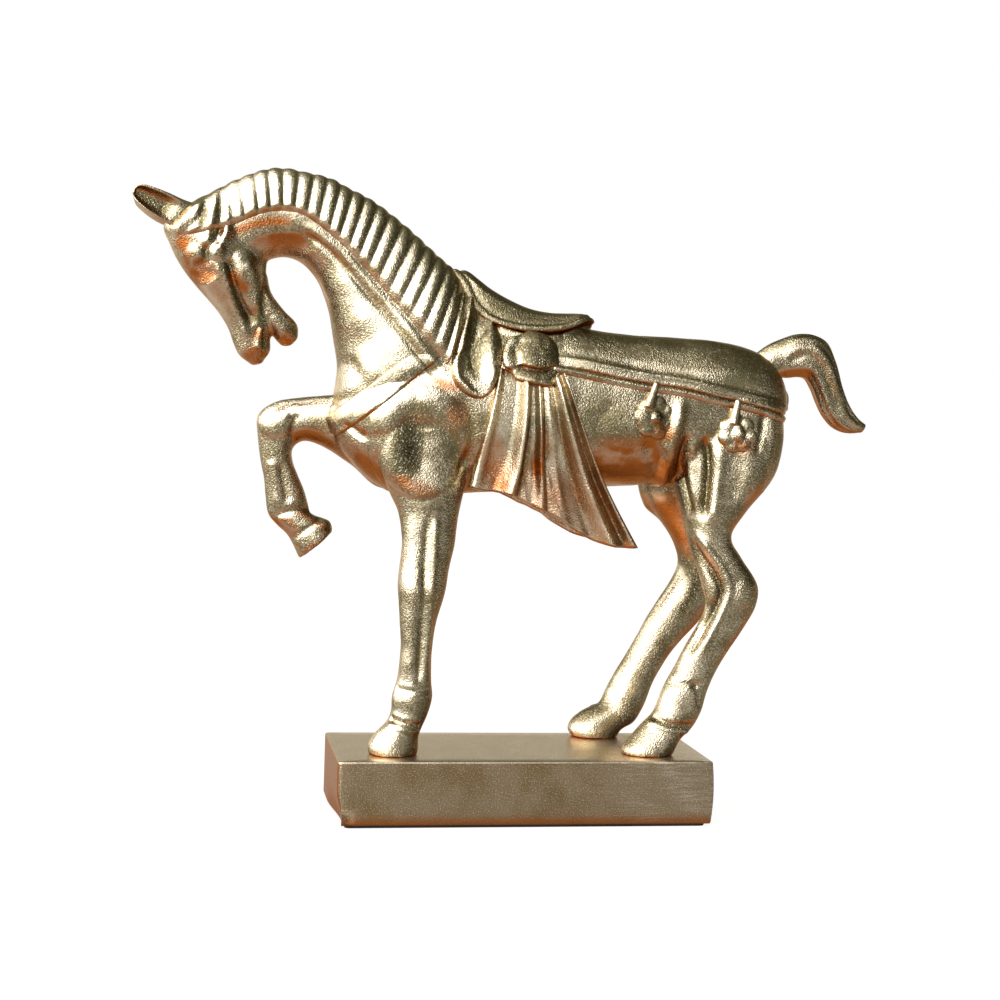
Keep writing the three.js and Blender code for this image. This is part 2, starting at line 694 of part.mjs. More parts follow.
function breastStrap() {
  const slab = past(strapPlane, -STRAP_WIDTH / 2).intersect(before(strapPlane, -STRAP_WIDTH / 2));
  const low = beyond(0, STRAP_TOP, 0, -1);
  const collar = trunkSkin(SEAT_GAP + STRAP_THICKNESS).intersect(slab).intersect(low);
  return collar.subtract(clearOfHorse).subtract(maneArch(SEAT_GAP)).subtract(saddleBody(SEAT_GAP));
}

function flapOutline() {
  const points = FLAP.map(([x, z]) => new THREE.Vector3(x, z, 0));
  const curve = new THREE.CatmullRomCurve3(points, true, 'centripetal');
  return curve.getPoints(2 * points.length).slice(0, -1).map((point) => [point.x, point.y]);
}

function flap(side) {
  const panel = layer(sidePlate(flapOutline(), side, SEAT_GAP, REACH), FLAP_THICKNESS);
  return panel.subtract(maneArch(SEAT_GAP)).subtract(saddleBody(SEAT_GAP));
}

// The rolled bundle behind the saddle flap
function knotGrown(side, grow = SEAT_GAP) {
  const ball = new THREE.SphereGeometry(1, 18, 12);
  ball.scale(KNOT_LENGTH / 2 + grow, KNOT_THICKNESS + grow, KNOT_HEIGHT / 2 + grow);
  ball.translate(KNOT_AT[0], side * (flank(...KNOT_AT, side) - KNOT_SUNK), KNOT_AT[1]);
  return toSolid(ball);
}

function knot(side) {
  return knotGrown(side, 0).subtract(clearOfHorse).subtract(saddleBody(SEAT_GAP));
}

// A point on a polyline, by share of its number of spans
function pointOn(line, share) {
  const place = share * (line.length - 1);
  const index = Math.min(Math.floor(place), line.length - 2);
  const rest = place - index;
  return line[index].map((value, k) => value + (line[index + 1][k] - value) * rest);
}

// The pleated cloth that hangs from under the knot past the belly
function drape(side) {
  const across = DRAPE_PLEATS * STEPS_PER_PLEAT;
  const rings = Array.from({ length: across + 1 }, (_, i) => {
    const [topX, topZ] = pointOn(DRAPE_TOP, i / across);
    const [footX, footZ] = pointOn(DRAPE_FOOT, i / across);
    const wave = (1 + Math.cos((2 * Math.PI * DRAPE_PLEATS * i) / across)) / 2;
    const column = Array.from({ length: STEPS_DOWN_DRAPE + 1 }, (_unused, j) => {
      const v = j / STEPS_DOWN_DRAPE;
      const x = topX + (footX - topX) * v;
      const z = topZ + (footZ - topZ) * v;
      const belly = flank(x, BELLY_WIDEST, side) - BELLY_TUCK;
      const body = Math.max(flank(x, Math.max(z, HANGING_FROM), side), belly);
      const pleat = wave * PLEAT_DEPTH * THREE.MathUtils.lerp(PLEAT_TOP_SHARE, 1, v);
      return { x, z, out: body + SEAT_GAP + DRAPE_THICKNESS - pleat };
    });
    const front = column.map(({ x, z, out }) => new THREE.Vector3(x, side * out, z));
    const back = column.map(({ x, z, out }) => (
      new THREE.Vector3(x, side * (out - 2 * DRAPE_THICKNESS), z)
    )).reverse();
    return [...front, ...back];
  });
  return toSolid(skin(rings)).subtract(clearOfHorse).subtract(knotGrown(side));
}

// A rosette on a short hanger under the cord
function pendant({ x, z, radius }, side) {
  const out = flank(x, z, side);
  const steps = PENDANT_PETALS * STEPS_PER_PETAL;
  const outline = Array.from({ length: steps }, (_, k) => {
    const angle = (2 * Math.PI * k) / steps;
    const lobe = Math.abs(Math.cos((PENDANT_PETALS * angle) / 2)) ** PETAL_ROUNDNESS;
    const reach = radius * (1 - PETAL_DEPTH + PETAL_DEPTH * lobe);
    return [x + reach * Math.cos(angle), z + reach * Math.sin(angle)];
  });
  const rosette = sidePlate(outline, side, out - PENDANT_THICKNESS, out + PENDANT_THICKNESS);
  const boss = new THREE.SphereGeometry(PENDANT_BOSS, 10, 8);
  boss.translate(x, side * (out + PENDANT_THICKNESS), z);
  const top = hemHeight(x) - CORD_THICKNESS - 2 * SEAT_GAP;
  const foot = z + radius / 2;
  const bar = new THREE.BoxGeometry(HANGER_WIDTH, 2 * PENDANT_THICKNESS, top - foot);
  bar.translate(x, side * out, (top + foot) / 2);
  return union([rosette, toSolid(boss), toSolid(bar)]).subtract(clearOfHorse);
}

function hemHeight(x) {
  const index = HEM.findIndex(([next]) => next > x);
  const [[x1, z1], [x2, z2]] = [HEM[index - 1], HEM[index]];
  return z1 + ((z2 - z1) * (x - x1)) / (x2 - x1);
}

const metal = (color, roughness) => ({ color, metalness: 1, roughness });
const FINISH = {
  body: metal(0xc9bfa6, 0.3),
  trim: metal(0xd2c8b0, 0.25),
  block: metal(0xbdb6a4, 0.35),
  steel: metal(0x8d8f93, 0.4),
  felt: { color: 0x2a2724, metalness: 0, roughness: 0.95 },
};

const horse = new THREE.Group();
horse.position.set(0, HORSE_SHIFT, BLOCK_HEIGHT + FELT_THICKNESS);

function place(name, solid, finish) {
  const mesh = new THREE.Mesh(toGeometry(solid), new THREE.MeshStandardMaterial(FINISH[finish]));
  mesh.name = name;
  horse.add(mesh);
}

place('base_block', baseBlock(), 'block');
place('felt_pad', feltPad(), 'felt');
for (const name of PLANTED) {
  place(`${name}_screw`, screwShank(name, 0).add(screwHead(name, 0)), 'steel');
}
place('torso', torso(), 'body');
place('neck', neck(), 'body');
place('head', head(), 'body');
for (const name of Object.keys(LEGS)) {
  place(name, leg(name), 'body');
}
place('tail', tail(0), 'body');
place('mane', mane(), 'body');
place('saddle', saddle(), 'trim');
place('rump_cloth', rumpCloth(), 'trim');
place('breast_strap', breastStrap(), 'trim');
for (const [prefix, side] of [['near', -1], ['far', 1]]) {
  place(`${prefix}_ear`, side > 0 ? ear() : mirrored(ear()), 'body');
  place(`${prefix}_saddle_flap`, flap(side), 'trim');
  place(`${prefix}_cloth_knot`, knot(side), 'trim');
  place(`${prefix}_drape`, drape(side), 'trim');
  place(`${prefix}_hem_cord`, hemCord(side), 'trim');
  for (const sizes of PENDANTS) {
    place(`${prefix}_${sizes.name}_pendant`, pendant(sizes, side), 'trim');
  }
}

const object = new THREE.Group();
object.add(horse);
export default object;
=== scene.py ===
"""Dresses the cast metal horse ornament: one sculpted skin split into its castings, with harness and block.

Shapes are worked out in millimetres in the horse's own frame: x along the horse, which faces -X,
y off its middle plane and z above its soles. Only place() turns them into metres in the model's frame.
"""

import itertools
import logging
import math
from dataclasses import dataclass, field
from enum import Enum, IntEnum
from typing import Callable, ClassVar, Iterable, Optional, Sequence, Union

import bpy
import numpy as np
from mathutils import Matrix, Vector
from mathutils.bvhtree import BVHTree

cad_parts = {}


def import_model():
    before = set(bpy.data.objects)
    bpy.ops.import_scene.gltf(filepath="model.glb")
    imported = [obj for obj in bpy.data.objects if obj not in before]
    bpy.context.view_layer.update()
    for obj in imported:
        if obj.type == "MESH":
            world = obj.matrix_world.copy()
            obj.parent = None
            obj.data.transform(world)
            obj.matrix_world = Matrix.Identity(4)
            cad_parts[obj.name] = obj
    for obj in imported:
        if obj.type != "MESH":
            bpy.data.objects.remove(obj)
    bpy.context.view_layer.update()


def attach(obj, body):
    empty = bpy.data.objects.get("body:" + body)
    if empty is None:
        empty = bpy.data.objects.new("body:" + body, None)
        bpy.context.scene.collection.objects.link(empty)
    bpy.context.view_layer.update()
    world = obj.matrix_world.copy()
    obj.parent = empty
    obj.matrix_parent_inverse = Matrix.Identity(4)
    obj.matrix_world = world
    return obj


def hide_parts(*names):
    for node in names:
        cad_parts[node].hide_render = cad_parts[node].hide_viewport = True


log = logging.getLogger("horse")

Array = np.ndarray
Line2D = Sequence[tuple[float, float]]
Scalar = Union[float, Array]

MILLIMETRE = 0.001
HORSE_SHIFT = 5.0
BLOCK_TOP = 24.5
HOLLOW_ROUNDS = 24
HOLLOW_DEPTHS = (0.02, 0.7)
# Names of the point values that hold painted shade and a painted orange reflection.
PAINTED_SHADE = "painted_shade"
PAINTED_REFLECTION = "painted_reflection"


class Side(Enum):
    """Which flank of the horse a mark or a piece belongs to."""

    NEAR = -1
    FAR = 1
    BOTH = 0


# curves and numbers


def smooth(value: Scalar, low: float, high: float) -> Scalar:
    """Rises smoothly from 0 at low to 1 at high; low may be the larger one.

    Args:
        value: the number or numbers to grade.
        low: where the result is 0.
        high: where the result is 1.

    Returns:
        Numbers between 0 and 1.
    """
    share = np.clip((value - low) / (high - low), 0.0, 1.0)
    return share * share * (3.0 - 2.0 * share)


def bell(value: Array, middle: float, width: Scalar) -> Array:
    """A soft bump that is 1 at the middle."""
    return np.exp(-(((value - middle) / width) ** 2))


def through(points: Sequence[Sequence[float]], count: int, closed: bool = False) -> Array:
    """Points on a smooth curve through the given ones, at even steps of their index.

    Args:
        points: the points, in any number of dimensions.
        count: how many points to return.
        closed: whether the curve comes back to its start.

    Returns:
        An array of count points.
    """
    knots = np.asarray(points, float)
    if closed:
        knots = np.vstack([knots[-1], knots, knots[:2]])
        place = np.linspace(1, len(knots) - 2, count, endpoint=False)
    else:
        knots = np.vstack([2 * knots[0] - knots[1], knots, 2 * knots[-1] - knots[-2]])
        place = np.linspace(1, len(knots) - 2, count)
    steps = np.maximum(np.linalg.norm(np.diff(knots[:, :2], axis=0), axis=1), 1e-6) ** 0.5
    times = np.concatenate([[0.0], np.cumsum(steps)])
    index = np.clip(place.astype(int), 1, len(knots) - 3)
    share = (place - index)[:, None]
    before, start, end, after = (knots[index + k] for k in (-1, 0, 1, 2))
    t0, t1, t2, t3 = (times[index + k][:, None] for k in (-1, 0, 1, 2))
    span = t2 - t1
    leave = span * ((start - before) / (t1 - t0) - (end - before) / (t2 - t0) + (end - start) / span)
    arrive = span * ((end - start) / span - (after - start) / (t3 - t1) + (after - end) / (t3 - t2))
    s2, s3 = share**2, share**3
    return (
        (2 * s3 - 3 * s2 + 1) * start
        + (s3 - 2 * s2 + share) * leave
        + (3 * s2 - 2 * s3) * end
        + (s3 - s2) * arrive
    )


def rounded_plan(
    length: float, width: float, radius: float, turns: int, runs: int = 1
) -> tuple[Array, Array]:
    """Points round a rectangle with rounded corners.

    Args:
        length: its size from left to right.
        width: its size from front to back.
        radius: the radius of its corners.
        turns: the number of steps round a corner.
        runs: the number of steps along a side.

    Returns:
        The points and their outward directions, from the corner at the right and front.
    """
    hubs = np.array([(1, -1), (1, 1), (-1, 1), (-1, -1)]) * (length / 2 - radius, width / 2 - radius)
    shares = np.linspace(0, 1, runs + 1)[1:-1, None]
    points, directions = [], []
    for number in range(4):
        angles = np.radians(90.0 * (number - 1) + np.linspace(0, 90, turns + 1))
        out = np.column_stack([np.cos(angles), np.sin(angles)]).round(12)
        corner = hubs[number] + radius * out
        side = corner[-1] + shares * (hubs[(number + 1) % 4] - hubs[number])
        points += [corner, side]
        directions += [out, np.tile(out[-1], (len(side), 1))]
    return np.vstack(points), np.vstack(directions)


def moving_mean(row: Array, reach: int) -> Array:
    """The mean of each number and of the ones up to reach before and after it."""
    window = np.ones(2 * reach + 1) / (2 * reach + 1)
    return np.convolve(np.pad(row, reach, mode="edge"), window, mode="valid")


def along_line(points: Array, line: Line2D) -> tuple[Array, Array, Array]:
    """Where points of the side view lie by a line of it.

    Args:
        points: an array of x and z.
        line: the corners of the line.

    Returns:
        The distance to the line, the share of its length at the nearest place, and the distance
        signed by side, positive on the left of the line's direction.
    """
    corners = np.asarray(line, float)
    lengths = np.linalg.norm(np.diff(corners, axis=0), axis=1)
    starts = np.concatenate([[0.0], np.cumsum(lengths)])
    nearest = np.full(len(points), np.inf)
    share = np.zeros(len(points))
    signed = np.zeros(len(points))
    for first, second, length, start in zip(corners[:-1], corners[1:], lengths, starts):
        direction = (second - first) / length
        offset = points - first
        run = np.clip(offset @ direction, 0.0, length)
        gap = offset - run[:, None] * direction
        distance = np.hypot(gap[:, 0], gap[:, 1])
        closer = distance < nearest
        nearest[closer] = distance[closer]
        share[closer] = (start + run[closer]) / starts[-1]
        side = direction[0] * offset[:, 1] - direction[1] * offset[:, 0]
        signed[closer] = np.where(side[closer] < 0, -distance[closer], distance[closer])
    return nearest, share, signed


def inside_outline(points: Array, outline: Line2D) -> Array:
    """Distance into a closed outline of the side view, negative outside it.

    Args:
        points: an array of x and z.
        outline: the corners of the outline.

    Returns:
        The signed distances.
    """
    ring = list(outline) + [outline[0]]
    distance, _, _ = along_line(points, ring)
    inside = np.zeros(len(points), bool)
    for (x1, z1), (x2, z2) in zip(ring[:-1], ring[1:]):
        crosses = (z1 > points[:, 1]) != (z2 > points[:, 1])
        if z1 != z2:
            at = x1 + (x2 - x1) * (points[:, 1] - z1) / (z2 - z1)
            inside ^= crosses & (points[:, 0] < at)
    return np.where(inside, distance, -distance)


class CastingNoise:
    """Soft random waves in space, the same on every run."""

    def __init__(self, seed: int, cells: int = 32) -> None:
        """Fills the lattice that the waves come from.

        Args:
            seed: which waves to make.
            cells: size of the lattice, after which the waves repeat.
        """
        self.cells = cells
        self.lattice = np.random.default_rng(seed).random((cells, cells, cells)) * 2 - 1

    def at(self, points: Array, wavelength: float) -> Array:
        """Values between -1 and 1 at the points, for waves of this length."""
        scaled = points / wavelength + 1000.0
        base = np.floor(scaled).astype(int)
        part = scaled - base
        part = part * part * (3 - 2 * part)
        total = np.zeros(len(points))
        for step in itertools.product((0, 1), repeat=3):
            weight = np.abs(1 - np.array(step) - part).prod(axis=1)
            corner = (base + step) % self.cells
            total += weight * self.lattice[tuple(corner.T)]
        return total


# surfaces


@dataclass
class Surface:
    """A mesh as arrays: points in millimetres, and faces as rows of four point numbers.

    A triangle repeats its last number. The outward normals can be handed in, for a surface that was
    cut from a larger one and keeps that one's shading.
    """

    points: Array
    faces: Array
    shading: Optional[Array] = None

    def normals(self) -> Array:
        """Unit normals of the points, weighted by the area of their faces."""
        a, b, c, d = (self.points[self.faces[:, k]] for k in range(4))
        across = np.cross(c - a, d - b)
        flat = self.faces[:, 2] == self.faces[:, 3]
        across[flat] = np.cross(b[flat] - a[flat], c[flat] - a[flat])
        total = np.zeros_like(self.points)
        for axis in range(3):
            for corner in range(4):
                total[:, axis] += np.bincount(
                    self.faces[:, corner], weights=across[:, axis], minlength=len(self.points)
                )
        return total / np.maximum(np.linalg.norm(total, axis=1, keepdims=True), 1e-12)

    def polygons(self) -> list[list[int]]:
        """The point numbers of each face, without the repeat in a triangle."""
        return [list(dict.fromkeys(face)) for face in self.faces.tolist()]

    def sides(self) -> Array:
        """The first side of every face, then the second and so on, as rows of two point numbers."""
        return np.vstack([self.faces[:, [k, (k + 1) % 4]] for k in range(4)])

    def edges(self) -> Array:
        """Both directions of every edge, as rows of two point numbers."""
        sides = self.sides()
        sides = sides[sides[:, 0] != sides[:, 1]]
        return np.vstack([sides, sides[:, ::-1]])

    def open_sides(self) -> Array:
        """The sides that no other face shares, as rows of two point numbers."""
        sides = self.sides()
        span = len(self.points)
        shared = np.isin(sides[:, 0] * span + sides[:, 1], sides[:, 1] * span + sides[:, 0])
        return sides[~shared]

    def tree(self) -> BVHTree:
        """A search tree of the surface for rays and nearest points."""
        return BVHTree.FromPolygons(self.points.tolist(), self.faces.tolist())

    def moved(self, points: Array) -> "Surface":
        """The same faces on other points."""
        return Surface(points, self.faces)

    def volume(self) -> float:
        """The enclosed volume, negative where the faces look inwards."""
        a, b, c, d = (self.points[self.faces[:, k]] for k in range(4))
        return float((a * np.cross(b, c)).sum() + (a * np.cross(c, d)).sum()) / 6

    def facing_out(self) -> "Surface":
        """The surface, turned inside out if its faces look inwards."""
        if self.volume() >= 0:
            return self
        return Surface(self.points, self.faces[:, [0, 3, 2, 1]])

    @staticmethod
    def joined(parts: Iterable["Surface"]) -> "Surface":
        """One surface that holds all the parts side by side."""
        points: list[Array] = []
        faces: list[Array] = []
        start = 0
        for part in parts:
            points.append(part.points)
            faces.append(part.faces + start)
            start += len(part.points)
        return Surface(np.vstack(points), np.vstack(faces))

    @staticmethod
    def from_rings(rings: Array, capped: bool = True) -> "Surface":
        """A surface through rings of points.

        Args:
            rings: an array of rings, points of a ring, and coordinates.
            capped: whether a fan closes the first and the last ring.

        Returns:
            The surface, facing out.
        """
        count, sides, _ = rings.shape
        points = rings.reshape(-1, 3)
        row, column = np.meshgrid(np.arange(count - 1) * sides, np.arange(sides), indexing="ij")
        near, far = row + column, row + (column + 1) % sides
        faces = np.stack([near, far, far + sides, near + sides], axis=-1).reshape(-1, 4)
        if not capped:
            return Surface(points, faces)
        hubs = np.stack([rings[0].mean(axis=0), rings[-1].mean(axis=0)])
        side = np.arange(sides)
        after = (side + 1) % sides
        first = np.full(sides, len(points))
        last = first + 1
        low = np.stack([after, side, first, first], axis=-1)
        top = (count - 1) * sides
        high = np.stack([top + side, top + after, last, last], axis=-1)
        return Surface(np.vstack([points, hubs]), np.vstack([faces, low, high])).facing_out()


def average(points: Array, edges: Array) -> Array:
    """The mean of each point's neighbours."""
    total = np.zeros_like(points)
    for axis in range(points.shape[1]):
        total[:, axis] = np.bincount(edges[:, 0], weights=points[edges[:, 1], axis], minlength=len(points))
    count = np.bincount(edges[:, 0], minlength=len(points))
    return total / np.maximum(count, 1)[:, None]


def relaxed(surface: Surface, rounds: int, weight: Scalar = 0.5) -> Surface:
    """Evens out a surface by moving its points towards their neighbours' mean."""
    edges = surface.edges()
    points = surface.points.copy()
    share = weight if np.isscalar(weight) else np.asarray(weight)[:, None]
    for _ in range(rounds):
        points += share * (average(points, edges) - points)
    return surface.moved(points)


def thick_sheet(front: Array, back: Array) -> Surface:
    """A closed sheet between two grids of points.

    Args:
        front: the grid that shows, as rows, columns and coordinates.
        back: the grid behind it, of the same size.

    Returns:
        The closed surface.
    """
    rings = np.concatenate([front, back[:, ::-1]], axis=1)
    wall = Surface.from_rings(rings, capped=False)
    step = np.arange(front.shape[1] - 1)
    last = rings.shape[1] - 1
    start = np.stack([step + 1, step, last - step, last - 1 - step], axis=-1)
    end = start[:, [1, 0, 3, 2]] + (len(rings) - 1) * rings.shape[1]
    return Surface(wall.points, np.vstack([wall.faces, start, end])).facing_out()


def dome_rings(polars: Array, sides: int, radii: tuple[float, float, float]) -> Array:
    """Rings round an oval dome that stands out along y.

    Args:
        polars: the angle of each ring from the dome's middle.
        sides: points round a ring.
        radii: the dome's half size along each axis.

    Returns:
        The points, as rings by points by coordinates.
    """
    angles = np.linspace(0, 2 * math.pi, sides, endpoint=False)
    flat = np.sin(polars)
    out = np.outer(np.cos(polars), np.ones(sides))
    return np.stack([np.outer(flat, np.cos(angles)), out, np.outer(flat, np.sin(angles))], axis=-1) * radii


def swept_bar(path: Array, ups: Array, width: Array, height: Array, sides: int = 14) -> Surface:
    """A rounded bar along a path.

    Args:
        path: the points of its middle line.
        ups: the direction of its height at each of them.
        width: its width at each of them.
        height: its height at each of them.
        sides: points round the bar.

    Returns:
        The closed surface.
    """
    ahead = np.gradient(path, axis=0)
    ahead /= np.linalg.norm(ahead, axis=1, keepdims=True)
    across = np.cross(ahead, ups)
    across /= np.linalg.norm(across, axis=1, keepdims=True)
    ups = np.cross(across, ahead)
    angles = np.linspace(0, 2 * math.pi, sides, endpoint=False)
    rings = (
        path[:, None]
        + across[:, None] * (np.cos(angles)[None, :, None] * width[:, None, None] / 2)
        + ups[:, None] * (np.sin(angles)[None, :, None] * height[:, None, None] / 2)
    )
    return Surface.from_rings(rings)


# sections of the body


@dataclass(frozen=True)
class Loft:
    """A tapering body through oval sections of the side view.

    Each row holds the section's two edges, as x and height above the soles twice, then its half
    width, and where it is off the middle plane, how far.
    """

    rows: tuple[tuple[float, ...], ...]
    flat_end: bool = False
    flat_start: bool = True
    squareness: float = 2.2

    def surface(self, sides: int = 44, per_span: int = 6) -> Surface:
        """The body's surface.

        Args:
            sides: points round a section.
            per_span: sections from one row to the next.

        Returns:
            A closed surface.
        """
        rows = np.array([list(row) + [0.0] * (6 - len(row)) for row in self.rows])
        fine = through(rows, (len(rows) - 1) * per_span + 1)
        angles = np.linspace(0, 2 * math.pi, sides, endpoint=False)
        power = 2 / self.squareness
        run = np.sign(np.cos(angles)) * np.abs(np.cos(angles)) ** power
        wide = np.sign(np.sin(angles)) * np.abs(np.sin(angles)) ** power
        middle = np.stack([(fine[:, 0] + fine[:, 2]) / 2, fine[:, 5], (fine[:, 1] + fine[:, 3]) / 2], axis=1)
        across = np.stack([fine[:, 0] - fine[:, 2], np.zeros(len(fine)), fine[:, 1] - fine[:, 3]], axis=1)
        half = np.linalg.norm(across, axis=1, keepdims=True) / 2
        across = across / (2 * half)
        rings = middle[:, None] + across[:, None] * (half[:, None] * run[None, :, None])
        rings[:, :, 1] += fine[:, 4:5] * wide[None, :]
        if not self.flat_end:
            rings = self._domed(rings)
        if not self.flat_start:
            rings = self._domed(rings[::-1])[::-1]
        return Surface.from_rings(rings)

    @staticmethod
    def _domed(rings: Array) -> Array:
        """The rings with a rounded end past the last one."""
        centre = rings[-1].mean(axis=0)
        outwards = centre - rings[-2].mean(axis=0)
        outwards /= np.linalg.norm(outwards)
        reach = 0.45 * np.linalg.norm(rings[-1] - centre, axis=1).min()
        extra = [
            centre + outwards * reach * math.sin(angle) + (rings[-1] - centre) * math.cos(angle)
            for angle in np.radians([25, 45, 62, 76])
        ]
        return np.vstack([rings, np.array(extra)])


TORSO = Loft(
    (
        (-73.5, 121.5, -73.5, 129.5, 5),
        (-71, 114, -71, 135.5, 10.5),
        (-66, 107.5, -66, 143, 15.5),
        (-58, 100.5, -58, 150, 20),
        (-48, 95.5, -48, 155.5, 22.5),
        (-36, 95.5, -36, 159.5, 24),
        (-22, 97, -22, 162.5, 24.5),
        (-5, 98, -5, 163, 24.5),
        (12, 99, 12, 162.5, 24.5),
        (28, 100.5, 28, 159.6, 24.5),
        (42, 101.5, 42, 158.7, 24.5),
        (56, 103, 56, 158.4, 24.8),
        (70, 105, 70, 158, 24.5),
        (84, 110, 84, 156, 22.5),
        (93, 117, 93, 152.5, 18.5),
        (99, 125, 99, 146, 12.5),
        (101.8, 132, 101.8, 140.5, 6),
    ),
    flat_start=False,
)
NECK = Loft(
    (
        (-58, 106, 2, 152, 20),
        (-73.5, 131, -17, 166, 21),
        (-73, 137, -25, 174.5, 20),
        (-72.5, 144, -34, 181, 17.8),
        (-74.2, 153, -46, 190, 15.6),
        (-77, 166.5, -58, 199, 14),
        (-81.5, 176, -70, 206.5, 13),
        (-87.5, 181.8, -82, 211.5, 12.3),
        (-94, 183.3, -95, 213, 11.8),
        (-101, 181, -107, 211.5, 11.3),
        (-107, 177, -117, 206, 10.3),
    ),
)
HEAD = Loft(
    (
        (-124, 203, -107, 198.5, 7.5),
        (-134, 199, -100.5, 190, 10.4),
        (-138, 193, -99.8, 182.5, 11.1),
        (-135.5, 186, -100, 176.5, 11.3),
        (-130, 176.5, -99.3, 171.5, 10.8),
        (-125, 170.5, -97, 166.5, 9.4),
        (-119.5, 164.5, -97, 161.8, 8),
        (-114, 157, -97.3, 157.5, 7),
        (-111.2, 150.3, -97.7, 153, 6.4),
        (-108.8, 146, -97.7, 148.3, 5.4),
        (-105.4, 143.5, -100, 144.6, 3),
    ),
    flat_start=False,
)
JAW = Loft(
    (
        (-112, 178, -99.5, 176, 9.2),
        (-108, 170, -97.8, 170, 8.3),
        (-104, 165, -93, 163.5, 7),
        (-101, 159.5, -88.8, 159.5, 5.8),
        (-97.3, 155, -87.4, 156.5, 5),
        (-96, 152.6, -87.6, 153.2, 4.2),
        (-94.4, 151.3, -89.2, 151.6, 2.6),
    ),
)
NEAR_FORELEG = Loft(
    (
        (-60, 120, -20, 122, 13, -11),
        (-56.5, 106, -23, 106, 12, -13),
        (-52.5, 96.5, -25.5, 96.5, 10.5, -14.5),
        (-49.5, 90, -27, 89, 9.3, -15.5),
        (-48, 80.5, -28, 80.5, 8.4, -16.5),
        (-49, 67.5, -30.3, 68.5, 8, -17.5),
        (-49, 60, -31.5, 60.5, 8, -18),
        (-48.2, 49.5, -34.5, 49.5, 6.5, -18.5),
        (-47.5, 39.5, -35.7, 38.5, 6, -18.5),
        (-48.3, 28.5, -35.5, 27.5, 6.2, -18.5),
        (-50.2, 21.5, -35.2, 21.5, 7, -18.5),
        (-50.3, 16.5, -36.5, 15, 6.5, -18.5),
        (-51.5, 12.5, -38.5, 10.5, 7, -18.5),
        (-56, 7.5, -39.8, 6.5, 7.8, -18.5),
        (-58.7, 3, -39.8, 3, 8.2, -18.5),
        (-58.3, 0, -40.1, 0, 8.3, -18.5),
    ),
    flat_end=True,
)
RAISED_FORELEG = Loft(
    (
        (-46, 134, -42, 98, 11, 7),
        (-60, 134, -55, 98, 11, 9),
        (-72, 132.8, -65, 106, 10, 12),
        (-84, 131.3, -75, 112.3, 8.5, 14.5),
        (-94, 129.5, -83, 114.7, 8, 16),
        (-100.8, 124, -87.3, 111.5, 8, 17),
        (-100.7, 116.5, -87, 106.5, 7.5, 17),
        (-99.5, 107.5, -85, 101.5, 6.5, 17),
        (-98, 100.5, -82.5, 96, 6, 17),
        (-97, 92.5, -80.6, 90, 6, 17),
        (-95.8, 86, -79.5, 86.8, 6.2, 17),
        (-92.5, 82, -75.6, 85.3, 6.4, 17),
        (-88.2, 78, -72.3, 84, 7, 17),
        (-83.6, 69, -70.8, 80.3, 7.5, 17),
    ),
    flat_end=True,
)
NEAR_HIND_LEG = Loft(
    (
        (62, 138, 99, 134, 15, -9),
        (57.5, 118, 99.5, 121, 15, -10.5),
        (57.5, 104, 96, 107, 13.5, -12),
        (60.5, 91.5, 84.5, 93, 11, -14.5),
        (62.5, 82.5, 78.7, 84, 9, -16),
        (65, 73.5, 83, 75.5, 8, -17),
        (68, 64.5, 89.5, 65.5, 7.5, -18),
        (69.5, 57.5, 89, 57.5, 7, -18.5),
        (67, 50.5, 85, 49.5, 6.3, -18.5),
        (62.5, 42.5, 79, 40.5, 6, -18.5),
        (58, 33.5, 74.5, 32.5, 6, -18.5),
        (54, 25.5, 71.2, 24.5, 6.5, -18.5),
        (50, 15.5, 69, 16.5, 7, -18.5),
        (46, 11.5, 66, 10.8, 6.8, -18.5),
        (42, 6.5, 61.5, 6.5, 7.8, -18.5),
        (38.7, 2, 59.3, 2.5, 8.5, -18.5),
        (38.8, 0, 58.2, 0, 8.5, -18.5),
    ),
    flat_end=True,
)
FAR_HIND_LEG = Loft(
    (
        (60, 138, 99, 134, 15, 9),
        (54, 118, 98, 121, 15, 10.5),
        (51, 99, 93, 104, 13.5, 12.5),
        (60, 86.5, 86, 88, 11, 15),
        (66, 77.5, 83.5, 76, 9, 16),
        (68, 70.5, 84, 65, 8, 17),
        (65.5, 63.5, 84, 57, 7.2, 17.5),
        (60, 54.5, 78.5, 48, 6.5, 18),
        (54.5, 45, 70.5, 39, 6, 18.2),
        (49.5, 35, 64.5, 31, 6, 18.5),
        (45, 27.5, 60, 23, 6.2, 18.5),
        (41, 20, 57.5, 16.5, 6.8, 18.5),
        (37.5, 13.3, 55.5, 11.5, 6.8, 18.5),
        (31.5, 10.3, 52.3, 6, 7.3, 18.5),
        (26.5, 6, 48, 3.5, 8, 18.5),
        (25.3, 2.5, 46.3, 2, 8.4, 18.5),
        (27, 0, 45.3, 0, 8.3, 18.5),
    ),
    flat_end=True,
)
TAIL = Loft(
    (
        (88, 152, 94, 141, 4.5),
        (96, 158, 101, 145, 5.3),
        (101, 160.4, 104.5, 145.3, 5.8),
        (107, 162.4, 108.5, 145.8, 6.1),
        (114, 162.5, 112, 145, 6.1),
        (120, 159.5, 114.5, 141, 5.8),
        (124, 152, 117, 135.5, 5.3),
        (127, 142.5, 120.5, 129.7, 4.6),
        (131, 134.2, 125, 126, 3.8),
        (134.5, 130.3, 130, 124.5, 2.8),
        (137.3, 128.2, 135.5, 124.9, 1.5),
    ),
)


# sculpting marks


